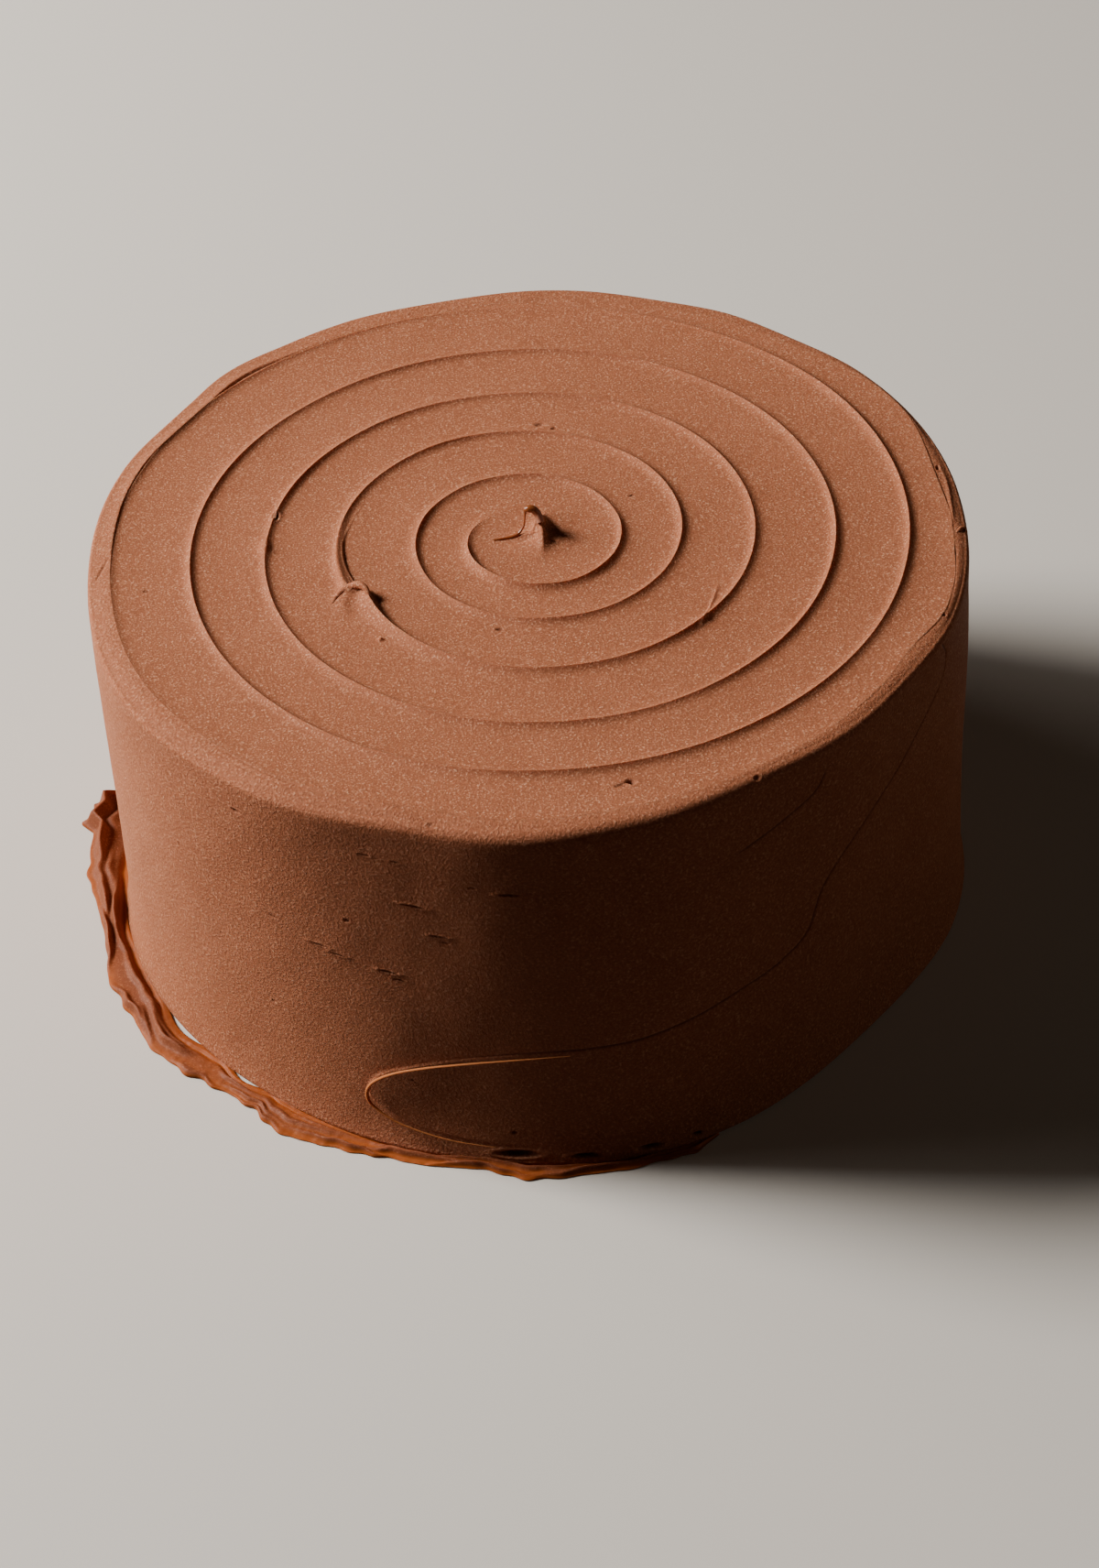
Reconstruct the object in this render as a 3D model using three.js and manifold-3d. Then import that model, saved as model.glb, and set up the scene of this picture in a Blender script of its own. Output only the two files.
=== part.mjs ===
// A round chocolate cake, frosted all over, with a spatula spiral on top.
// Millimetres, +Z up. The origin is the middle of the foot, and azimuths are degrees
// counterclockwise from +X, seen from above.
import * as THREE from 'three';
import { mergeVertices } from 'three/addons/utils/BufferGeometryUtils.js';
import Module from 'manifold-3d';

// Overall size: an 8 inch sponge with about 5 mm of frosting all round
const cakeHeight = 105;
const rimRadius = 106.5;
const footRadius = 109;
const columnCount = 96;

// Unevenness of the rim and the foot: bumps are plus, flats are minus
const rimBumps = [
  { at: 20, spread: 34, size: 0.6 }, { at: 47, spread: 12, size: -0.9 },
  { at: 69, spread: 12, size: -0.9 }, { at: 75, spread: 95, size: 1.3 },
  { at: 100, spread: 15, size: -1.1 },
  { at: 133, spread: 10, size: 1.1 }, { at: 147, spread: 12, size: -1.0 },
  { at: 181, spread: 18, size: -0.6 }, { at: 210, spread: 20, size: 0.9 },
  { at: 248, spread: 16, size: -1.0 }, { at: 268, spread: 15, size: 1.8 },
  { at: 300, spread: 20, size: -1.9 }, { at: 322, spread: 16, size: -1.1 },
  { at: 345, spread: 20, size: 0.8 },
];
const footBumps = [
  { at: 192, spread: 26, size: 1.2 }, { at: 231, spread: 22, size: -0.9 },
  { at: 280, spread: 24, size: 2.0 }, { at: 317, spread: 24, size: -2.9 },
  { at: 350, spread: 24, size: 1.6 },
];

// The ridge that the spatula leaves between two turns of its spiral
const spiral = {
  start: 120,
  turns: 5.3,
  halfTurnRadii: [11.7, 20.8, 25.2, 33.8, 44.1, 52.1, 60.8, 71.2, 79.9, 87.7, 99.5, 102.4],
  offCentre: { size: 1.45, toward: 341 },
  oval: { size: 0.47, toward: 126 },
  rimMargin: 5.8,
  fadeIn: 0.15,
  fadeOut: 0.25,
};
const ridge = {
  height: 1.3,
  innerWidth: 1.3,
  outerWidth: 2.8,
  tallerToward: 315,
  tallerBy: 0.3,
};
const channelSag = 0.25;

// The scraped band between the last turn and the side
const band = {
  width: 2.8,
  drop: 0.5,
  dropPerScraped: 0.25,
  edgeInset: 0.9,
  roundDrop: 2.0,
  wideLeft: { at: 215, spread: 60, size: 3.0 },
  wideRight: { at: 25, spread: 40, size: 2.2 },
};

// The edge of the last coat on the side, from the rim down to the front and on to the left
const sideStep = {
  size: 0.8,
  lipWidth: 1.0,
  path: [
    { at: 245, depth: 88 }, { at: 249, depth: 79 }, { at: 256, depth: 73 },
    { at: 270, depth: 67.5 }, { at: 293, depth: 62.7 }, { at: 304, depth: 56 },
    { at: 315, depth: 33 }, { at: 328, depth: 19.6 }, { at: 336, depth: 9 },
  ],
  samples: 60,
  fade: 4,
};
const rowsAboveStep = 3;
const rowsBelowStep = 4;
const footRound = 1.4;

// The peak in the middle, where the spatula was lifted off: a cone that hooks over to the left
const peak = {
  sides: 14,
  stations: 16,
  path: [[2.4, -3.0, -1.5], [2.5, -2.8, 1], [2.8, -1.2, 3.6], [3.0, 0.2, 5.7], [2.4, 0.95, 7.1],
    [1.3, 1.1, 7.0], [0.7, 1.1, 6.1]],
  radii: [5.6, 3.3, 1.8, 1.15, 0.95, 0.8, 0.55],
};
// The thread that hangs from the tip and trails off over the top
const thread = {
  sides: 6,
  stations: 14,
  path: [[0.7, 1.1, 6.2], [0.45, 0.8, 4.8], [0.1, 0.2, 2.6], [-1.4, -0.4, 0.95], [-2.9, -0.7, 0.25],
    [-4.8, -0.8, 0.15], [-7.2, -0.9, -0.1]],
  radii: [0.45, 0.3, 0.32, 0.38, 0.42, 0.35, 0.2],
};

// The fold of frosting across the third turn, where the spatula paused
const fold = {
  at: 204.5,
  radius: 47.4,
  length: 7.6,
  width: 3.4,
  height: 4.2,
  sink: 0.4,
  segments: 16,
  rings: 10,
};

// The ragged frosting pushed out at the foot, fused to the side
const skirt = {
  from: 166,
  to: 290,
  stations: 42,
  overlap: 4,
  outline: [
    { at: 166, radius: 112, height: 3.0 }, { at: 170, radius: 121, height: 6.5 },
    { at: 180, radius: 118.5, height: 3.6 }, { at: 200, radius: 118, height: 3.4 },
    { at: 216, radius: 117, height: 3.0 }, { at: 230, radius: 114.2, height: 2.2 },
    { at: 246, radius: 112.6, height: 1.5 }, { at: 270, radius: 114, height: 1.6 },
    { at: 290, radius: 111.5, height: 1.0 },
  ],
  // Corners of the section, as shares of its reach and of its height
  edge: { out: 0.93, up: 0.3 },
  crest: { out: 0.62, up: 1 },
  hollow: { out: 0.3, up: 0.7 },
  rootUp: 0.75,
  ripple: 0.16,
  seed: 7,
};

// Where a cut's points stand in its order: the spiral's count turns, and the rim, side and foot follow
const order = {
  channelBefore: 0.4,
  innerSlopeBefore: 0.1,
  outerSlopeAfter: 0.2,
  middleOfTop: -1,
  rim: 100,
  upperSide: 110,
  lowerSide: 120,
  foot: 140,
  middleOfFoot: 200,
};

const frosting = { color: '#9c6447', roughness: 0.6, metalness: 0 };
const mergeDistance = 1e-4;

const radians = THREE.MathUtils.degToRad;

// Degrees from one azimuth to another, between -180 and 180
function turnBetween(from, to) {
  return ((to - from + 540) % 360 + 360) % 360 - 180;
}

// A smooth bump that is 1 at its middle and 0 past its spread
function bell(azimuth, at, spread) {
  const distance = Math.abs(turnBetween(at, azimuth)) / spread;
  return distance >= 1 ? 0 : 0.5 + 0.5 * Math.cos(Math.PI * distance);
}

function sumOfBumps(azimuth, bumps) {
  return bumps.reduce((sum, bump) => sum + bump.size * bell(azimuth, bump.at, bump.spread), 0);
}

function rimAt(azimuth) {
  return rimRadius + sumOfBumps(azimuth, rimBumps);
}

function footAt(azimuth) {
  return footRadius + sumOfBumps(azimuth, footBumps);
}

// Catmull-Rom value at a position counted in steps along a list of numbers
function alongList(values, position) {
  const last = values.length - 1;
  const i = THREE.MathUtils.clamp(Math.floor(position), 0, last - 1);
  const before = i > 0 ? values[i - 1] : 2 * values[0] - values[1];
  const after = i + 2 <= last ? values[i + 2] : 2 * values[last] - values[last - 1];
  const s = position - i;
  const slopeStart = (values[i + 1] - before) / 2;
  const slopeEnd = (after - values[i]) / 2;
  const rise = values[i + 1] - values[i];
  const curve = 3 * rise - 2 * slopeStart - slopeEnd;
  const twist = slopeStart + slopeEnd - 2 * rise;
  return values[i] + s * (slopeStart + s * (curve + s * twist));
}

// Straight-line value of a field between listed azimuths, held past both ends
function alongAzimuth(list, azimuth, field) {
  const next = list.findIndex((point) => point.at >= azimuth);
  if (next === 0) return list[0][field];
  if (next < 0) return list[list.length - 1][field];
  const [a, b] = [list[next - 1], list[next]];
  return THREE.MathUtils.mapLinear(azimuth, a.at, b.at, a[field], b[field]);
}

// The side step as a smooth line, closed round the back of the cake
const stepLine = new THREE.SplineCurve(sideStep.path.map(({ at, depth }) => new THREE.Vector2(at, depth)))
  .getPoints(sideStep.samples)
  .map(({ x, y }) => ({ at: x, depth: y }));
stepLine.push({ at: stepLine[0].at + 360, depth: stepLine[0].depth });

// Radius of the ridge's crest after so many turns of the spiral
function crestRadius(turns) {
  const azimuth = spiral.start + 360 * turns;
  const { offCentre, oval } = spiral;
  const shift = offCentre.size * Math.cos(radians(azimuth - offCentre.toward));
  const stretch = oval.size * Math.cos(2 * radians(azimuth - oval.toward));
  const radius = alongList(spiral.halfTurnRadii, 2 * turns) + shift + stretch;
  return Math.min(radius, rimAt(azimuth) - spiral.rimMargin);
}

// Height of the crest, which rises out of the centre and dies away at the rim
function crestHeight(turns) {
  const azimuth = spiral.start + 360 * turns;
  const rise = THREE.MathUtils.smoothstep(turns, 0, spiral.fadeIn);
  const fall = 1 - THREE.MathUtils.smoothstep(turns, spiral.turns - spiral.fadeOut, spiral.turns);
  const lean = 1 + ridge.tallerBy * Math.cos(radians(azimuth - ridge.tallerToward));
  return ridge.height * rise * fall * lean;
}

// One upright cut through the cake at a share of a turn past the spiral's start: points from
// the middle of the top, out over the ridges, down the side and back to the middle of the foot.
// rank says how far along the spiral or the side a point is, so that cuts join like to like.
function cutThroughCake(share) {
  const azimuth = spiral.start + 360 * share;
  const points = [];
  const add = (radius, z, rank) => points.push({ radius, z, rank, azimuth });
  for (let turns = share; turns <= spiral.turns; turns += 1) {
    const radius = crestRadius(turns);
    const inner = crestRadius(Math.max(turns - 1, 0));
    const channel = (radius + inner + ridge.outerWidth) / 2;
    if (turns >= 1) add(channel, cakeHeight - channelSag, turns - order.channelBefore);
    add(radius - ridge.innerWidth, cakeHeight, turns - order.innerSlopeBefore);
    add(radius, cakeHeight + crestHeight(turns), turns);
    add(radius + ridge.outerWidth, cakeHeight - channelSag / 2, turns + order.outerSlopeAfter);
  }
  addRimAndSide(azimuth, add);
  return points;
}

function addRimAndSide(azimuth, add) {
  const rim = rimAt(azimuth);
  const foot = footAt(azimuth);
  const scraped = sumOfBumps(azimuth, [band.wideLeft, band.wideRight]);
  const bandDrop = band.drop + band.dropPerScraped * scraped;
  const sideTop = cakeHeight - bandDrop - band.roundDrop;
  add(rim - band.width - scraped, cakeHeight, order.rim);
  add(rim - band.edgeInset, cakeHeight - bandDrop, order.rim + 1);
  add(rim, sideTop, order.rim + 2);
  const stepFrom = sideStep.path[0].at;
  const stepTo = sideStep.path.at(-1).at;
  const wrapped = (azimuth - stepFrom + 720) % 360 + stepFrom;
  const depth = alongAzimuth(stepLine, wrapped, 'depth');
  const shown = THREE.MathUtils.smoothstep(wrapped, stepFrom - sideStep.fade, stepFrom)
    * (1 - THREE.MathUtils.smoothstep(wrapped, stepTo, stepTo + sideStep.fade));
  const stepZ = cakeHeight - depth;
  const wall = (z) => THREE.MathUtils.mapLinear(z, cakeHeight, 0, rim, foot);
  for (let row = 1; row <= rowsAboveStep; row += 1) {
    const z = THREE.MathUtils.lerp(sideTop, stepZ, row / rowsAboveStep);
    add(wall(z), z, order.upperSide + row);
  }
  const lowest = 2 * footRound;
  for (let row = 0; row <= rowsBelowStep; row += 1) {
    const share = row / rowsBelowStep;
    const z = THREE.MathUtils.lerp(stepZ - sideStep.lipWidth, lowest, share);
    add(wall(z) + shown * sideStep.size * (1 - share), z, order.lowerSide + row);
  }
  add(foot, footRound, order.foot);
  add(foot - footRound, 0, order.foot + 1);
}

// Joins two neighbouring cuts with triangles, always stepping on along the one that is behind
function joinCuts(left, right, triangles) {
  let i = 0;
  let j = 0;
  while (i < left.length - 1 || j < right.length - 1) {
    const leftIsNext = j === right.length - 1
      || (i < left.length - 1 && left[i + 1].rank <= right[j + 1].rank);
    if (leftIsNext) {
      triangles.push([left[i], left[i + 1], right[j]]);
      i += 1;
    } else {
      triangles.push([left[i], right[j + 1], right[j]]);
      j += 1;
    }
  }
}

// Position of a cut's point in space
function place({ radius, z, azimuth }) {
  return [radius * Math.cos(radians(azimuth)), radius * Math.sin(radians(azimuth)), z];
}

// The frosted body: cuts all round, joined edge to edge, with a point in the middle of top and foot
function frostedBody() {
  const cuts = [];
  for (let column = 0; column < columnCount; column += 1) cuts.push(cutThroughCake(column / columnCount));
  const middleOfTop = { radius: 0, z: cakeHeight, azimuth: 0, rank: order.middleOfTop };
  const middleOfFoot = { radius: 0, z: 0, azimuth: 0, rank: order.middleOfFoot };
  const triangles = [];
  cuts.forEach((cut, column) => {
    const next = cuts[(column + 1) % columnCount];
    triangles.push([middleOfTop, cut[0], next[0]]);
    joinCuts(cut, next, triangles);
    triangles.push([cut.at(-1), middleOfFoot, next.at(-1)]);
  });
  const positions = triangles.flatMap((corners) => corners.flatMap(place));
  const geometry = new THREE.BufferGeometry();
  geometry.setAttribute('position', new THREE.Float32BufferAttribute(positions, 3));
  return mergeVertices(geometry, mergeDistance);
}

// A closed tube of changing radius along a smooth path
function taperedTube({ path, radii, sides, stations }) {
  const curve = new THREE.CatmullRomCurve3(path.map((point) => new THREE.Vector3(...point)));
  const frames = curve.computeFrenetFrames(stations, false);
  const positions = [];
  const index = [];
  for (let station = 0; station <= stations; station += 1) {
    const share = station / stations;
    const centre = curve.getPointAt(share);
    const position = curve.getUtoTmapping(share) * (radii.length - 1);
    const radius = alongList(radii, position);
    for (let side = 0; side < sides; side += 1) {
      const angle = 2 * Math.PI * side / sides;
      const corner = centre.clone()
        .addScaledVector(frames.normals[station], radius * Math.cos(angle))
        .addScaledVector(frames.binormals[station], radius * Math.sin(angle));
      positions.push(...corner.toArray());
    }
  }
  const firstCap = positions.length / 3;
  positions.push(...curve.getPointAt(0).toArray(), ...curve.getPointAt(1).toArray());
  for (let side = 0; side < sides; side += 1) {
    const next = (side + 1) % sides;
    for (let station = 0; station < stations; station += 1) {
      const [a, b] = [station * sides + side, station * sides + next];
      index.push(a, b, b + sides, a, b + sides, a + sides);
    }
    index.push(firstCap, next, side);
    index.push(firstCap + 1, stations * sides + side, stations * sides + next);
  }
  const geometry = new THREE.BufferGeometry();
  geometry.setAttribute('position', new THREE.Float32BufferAttribute(positions, 3));
  geometry.setIndex(index);
  return geometry;
}

function foldGeometry() {
  const geometry = new THREE.SphereGeometry(0.5, fold.segments, fold.rings);
  geometry.scale(fold.length, fold.width, fold.height);
  geometry.translate(fold.radius, 0, cakeHeight - fold.sink);
  geometry.rotateZ(radians(fold.at));
  geometry.deleteAttribute('normal');
  geometry.deleteAttribute('uv');
  return mergeVertices(geometry, mergeDistance);
}

// Repeatable random numbers between -1 and 1
function randomSource(seed) {
  let state = seed;
  return () => {
    state = (state * 16807) % 2147483647;
    return (state / 2147483647) * 2 - 1;
  };
}

// The ragged skirt: a low section of six corners carried round the foot, with rippled edges
function skirtGeometry() {
  const { edge, crest, hollow } = skirt;
  const random = randomSource(skirt.seed);
  const positions = [];
  const index = [];
  const corners = 6;
  for (let station = 0; station <= skirt.stations; station += 1) {
    const azimuth = THREE.MathUtils.lerp(skirt.from, skirt.to, station / skirt.stations);
    const foot = footAt(azimuth);
    const ripple = () => 1 + skirt.ripple * random();
    const reach = (alongAzimuth(skirt.outline, azimuth, 'radius') - foot) * ripple();
    const height = alongAzimuth(skirt.outline, azimuth, 'height');
    const section = [
      [foot - skirt.overlap, 0],
      [foot + reach, 0],
      [foot + edge.out * reach, edge.up * height * ripple()],
      [foot + crest.out * reach, crest.up * height * ripple()],
      [foot + hollow.out * reach, hollow.up * height * ripple()],
      [foot - skirt.overlap, skirt.rootUp * height],
    ];
    section.forEach(([radius, z]) => positions.push(...place({ radius, z, azimuth })));
  }
  for (let station = 0; station < skirt.stations; station += 1) {
    for (let corner = 0; corner < corners; corner += 1) {
      const a = station * corners + corner;
      const b = station * corners + (corner + 1) % corners;
      index.push(a, a + corners, b, b, a + corners, b + corners);
    }
  }
  const end = skirt.stations * corners;
  for (let corner = 1; corner < corners - 1; corner += 1) {
    index.push(0, corner, corner + 1);
    index.push(end, end + corner + 1, end + corner);
  }
  const geometry = new THREE.BufferGeometry();
  geometry.setAttribute('position', new THREE.Float32BufferAttribute(positions, 3));
  geometry.setIndex(index);
  return geometry;
}

const wasm = await Module();
wasm.setup();

function solidOf(geometry) {
  const mesh = new wasm.Mesh({
    numProp: 3,
    vertProperties: new Float32Array(geometry.attributes.position.array),
    triVerts: new Uint32Array(geometry.index.array),
  });
  return new wasm.Manifold(mesh);
}

function geometryOf(solid) {
  const mesh = solid.getMesh();
  const geometry = new THREE.BufferGeometry();
  geometry.setAttribute('position', new THREE.BufferAttribute(mesh.vertProperties, 3));
  geometry.setIndex(new THREE.BufferAttribute(mesh.triVerts, 1));
  geometry.computeVertexNormals();
  return geometry;
}

// The whole cake as one solid
function frostedCake() {
  const onTop = (geometry) => geometry.translate(0, 0, cakeHeight);
  const solid = [
    onTop(taperedTube(peak)),
    onTop(taperedTube(thread)),
    foldGeometry(),
    skirtGeometry(),
  ].reduce((whole, geometry) => whole.add(solidOf(geometry)), solidOf(frostedBody()));
  const mesh = new THREE.Mesh(geometryOf(solid), new THREE.MeshStandardMaterial(frosting));
  mesh.name = 'frosted_cake';
  return mesh;
}

const cake = new THREE.Group();
cake.name = 'chocolate_cake';
cake.add(frostedCake());

export default cake;
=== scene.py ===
"""A frosted chocolate cake: spatula spiral and hooked peak on top, scraped rim, marked side, ragged foot.

The CAD frame holds the cake as one solid. This script replaces its plain surface with the finished
frosting, at the same size and place. Sizes in the classes are millimetres and azimuths are degrees
counterclockwise from +X, seen from above. Meshes are made in metres.
"""
import logging
import math
from dataclasses import dataclass, field
from enum import Enum

import bmesh
import bpy
import numpy as np
from mathutils import Matrix, Vector


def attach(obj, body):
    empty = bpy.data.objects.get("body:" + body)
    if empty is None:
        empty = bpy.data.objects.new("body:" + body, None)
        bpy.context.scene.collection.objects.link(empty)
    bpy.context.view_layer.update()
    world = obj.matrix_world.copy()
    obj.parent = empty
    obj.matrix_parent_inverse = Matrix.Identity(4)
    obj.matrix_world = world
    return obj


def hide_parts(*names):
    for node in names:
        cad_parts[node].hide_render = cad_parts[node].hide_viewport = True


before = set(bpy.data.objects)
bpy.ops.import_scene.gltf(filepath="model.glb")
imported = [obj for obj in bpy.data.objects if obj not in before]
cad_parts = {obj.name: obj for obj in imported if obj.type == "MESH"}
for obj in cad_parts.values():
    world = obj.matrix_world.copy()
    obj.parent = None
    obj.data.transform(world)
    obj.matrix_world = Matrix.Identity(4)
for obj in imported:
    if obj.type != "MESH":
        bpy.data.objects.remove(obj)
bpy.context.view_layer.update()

LOG = logging.getLogger("chocolate_cake")
MM = 0.001
NODE = "frosted_cake"
BODY = "root"


class Shape(Enum):
    """How a bump rises from its edge to its middle."""

    BELL = "bell"
    PEAK = "peak"


@dataclass(frozen=True)
class Bump:
    """A smooth bump, or a flat where size is negative, on a round outline.

    Args:
        at: Azimuth of its middle in degrees.
        spread: Degrees from its middle to where it ends.
        size: Height at the middle in millimetres.
    """

    at: float
    spread: float
    size: float

    def share(self, azimuth: np.ndarray, shape: Shape = Shape.BELL) -> np.ndarray:
        """Says how much of the bump there is at each azimuth.

        Args:
            azimuth: Azimuths in degrees.
            shape: Round bell or sharp peak.

        Returns:
            1 at the middle, falling to 0 at the spread.
        """
        away = np.abs((azimuth - self.at + 180.0) % 360.0 - 180.0) / self.spread
        away = np.minimum(away, 1.0)
        if shape is Shape.PEAK:
            return (1.0 - away) ** 2
        return 0.5 + 0.5 * np.cos(np.pi * away)

    def height(self, azimuth: np.ndarray) -> np.ndarray:
        """Returns the bump's height in millimetres at each azimuth."""
        return self.size * self.share(azimuth)


def total(bumps: tuple[Bump, ...], azimuth: np.ndarray) -> np.ndarray:
    """Adds up bumps.

    Args:
        bumps: The bumps.
        azimuth: Azimuths in degrees.

    Returns:
        Their summed height in millimetres at each azimuth.
    """
    azimuth = np.asarray(azimuth, float)
    return sum((bump.height(azimuth) for bump in bumps), np.zeros_like(azimuth))


def smoothstep(value: np.ndarray, low: float, high: float) -> np.ndarray:
    """Rises smoothly from 0 at low to 1 at high.

    Args:
        value: Where to read it.
        low: Start of the rise.
        high: End of the rise.

    Returns:
        The share risen, from 0 to 1.
    """
    share = np.clip((np.asarray(value, float) - low) / (high - low), 0.0, 1.0)
    return share * share * (3.0 - 2.0 * share)


def catmull_rom(values: np.ndarray, position: np.ndarray) -> np.ndarray:
    """Reads a smooth curve through evenly spaced values.

    Args:
        values: The values, one each whole step.
        position: Where to read, counted in steps. Past the ends it runs on straight.

    Returns:
        The curve's values.
    """
    values = np.asarray(values, float)
    padded = np.concatenate([[2 * values[0] - values[1]], values, [2 * values[-1] - values[-2]]])
    step = np.clip(np.floor(position).astype(int), 0, len(values) - 2)
    s = np.asarray(position, float) - step
    p0, p1, p2, p3 = (padded[step + k] for k in range(4))
    slope_start = (p2 - p0) / 2
    slope_end = (p3 - p1) / 2
    rise = p2 - p1
    curve = 3 * rise - 2 * slope_start - slope_end
    twist = slope_start + slope_end - 2 * rise
    return p1 + s * (slope_start + s * (curve + s * twist))


def smooth_path(points: list[tuple[float, ...]], count: int) -> np.ndarray:
    """Draws a smooth line through a few points.

    Args:
        points: The points, each a tuple of coordinates.
        count: How many points the smooth line has.

    Returns:
        The line's points, one a row.
    """
    columns = np.array(points, float).T
    position = np.linspace(0.0, len(points) - 1.0, count)
    return np.stack([catmull_rom(column, position) for column in columns], 1)


class Ripple:
    """Smooth, seeded unevenness made of a few random waves in space."""

    def __init__(self, seed: int, wavelength: float, waves: int = 14) -> None:
        """Draws the waves.

        Args:
            seed: Seed of the random draw.
            wavelength: Typical wavelength in millimetres.
            waves: How many waves are added up.
        """
        rng = np.random.default_rng(seed)
        direction = rng.normal(size=(waves, 3))
        direction /= np.linalg.norm(direction, axis=1)[:, None]
        stretch = rng.uniform(0.7, 1.5, size=(waves, 1))
        self.vectors = direction * 2 * math.pi / (wavelength * stretch)
        self.phases = rng.uniform(0, 2 * math.pi, waves)
        self.scale = math.sqrt(2.0 / waves)

    def at(self, points: np.ndarray) -> np.ndarray:
        """Reads the unevenness.

        Args:
            points: Points in millimetres, one a row.

        Returns:
            A value for each point, mostly between -1 and 1.
        """
        return self.scale * np.sin(points @ self.vectors.T + self.phases).sum(1) / 1.4


class Sheet(Enum):
    """The surface that a mark lies on, which says how its two numbers are read."""

    TOP = "x and y in millimetres"
    ROUND = "azimuth in degrees and radius in millimetres, on the top"
    SIDE = "azimuth in degrees and depth below the top in millimetres"


SIDE_RADIUS = 107.5
SIDE_START = 160.0


def flatten(sheet: Sheet, places: np.ndarray) -> np.ndarray:
    """Turns a mark's own numbers into millimetres on its sheet.

    Args:
        sheet: The sheet that the mark lies on.
        places: Pairs of numbers, one a row.

    Returns:
        Flat coordinates in millimetres, one pair a row.
    """
    places = np.atleast_2d(np.asarray(places, float))
    if sheet is Sheet.SIDE:
        turned = (places[:, 0] - SIDE_START) % 360.0
        return np.stack([np.radians(turned) * SIDE_RADIUS, places[:, 1]], 1)
    if sheet is Sheet.ROUND:
        angle = np.radians(places[:, 0])
        return np.stack([places[:, 1] * np.cos(angle), places[:, 1] * np.sin(angle)], 1)
    return places


def unroll(sheet: Sheet, points: np.ndarray, top: float) -> np.ndarray:
    """Finds where points in space lie on a sheet.

    Args:
        sheet: The sheet.
        points: Points in millimetres, one a row.
        top: Height of the cake's top in millimetres.

    Returns:
        Flat coordinates in millimetres, one pair a row.
    """
    if sheet is Sheet.SIDE:
        azimuth = np.degrees(np.arctan2(points[:, 1], points[:, 0]))
        return flatten(sheet, np.stack([azimuth, top - points[:, 2]], 1))
    return points[:, :2]


@dataclass(frozen=True)
class Pit:
    """A small hole where depth is plus, or a lump where it is minus, with a low burr round it. A hole is darkened with
    painted shade, by its dark share.
    """

    sheet: Sheet
    at: tuple[float, float]
    half_length: float
    half_width: float
    depth: float
    turn: float = 0.0
    burr: float = 0.18
    dark: float = 0.45

    def read(self, flat: np.ndarray) -> tuple[np.ndarray, np.ndarray, np.ndarray]:
        """Reads the pit at points of its sheet.

        Args:
            flat: Flat coordinates in millimetres.

        Returns:
            The relief in millimetres, the painted shade that darkens a hole, and whether the mesh needs to be fine
            there.
        """
        centre = flatten(self.sheet, np.array([self.at]))[0]
        away = flat - centre
        cos, sin = math.cos(math.radians(self.turn)), math.sin(math.radians(self.turn))
        along = (away[:, 0] * cos + away[:, 1] * sin) / self.half_length
        across = (away[:, 1] * cos - away[:, 0] * sin) / self.half_width
        reach = np.hypot(along, across)
        hole = np.exp(-1.4 * reach ** 3)
        relief = -self.depth * hole + abs(self.depth) * self.burr * np.exp(-7 * (reach - 1.35) ** 2)
        # Painted shade: a hole is coloured darker by its dark share, as shade falls into it.
        torn_and_shade = self.dark * hole if self.depth > 0 else 0 * hole
        return relief, torn_and_shade, reach < 2.2


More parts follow.
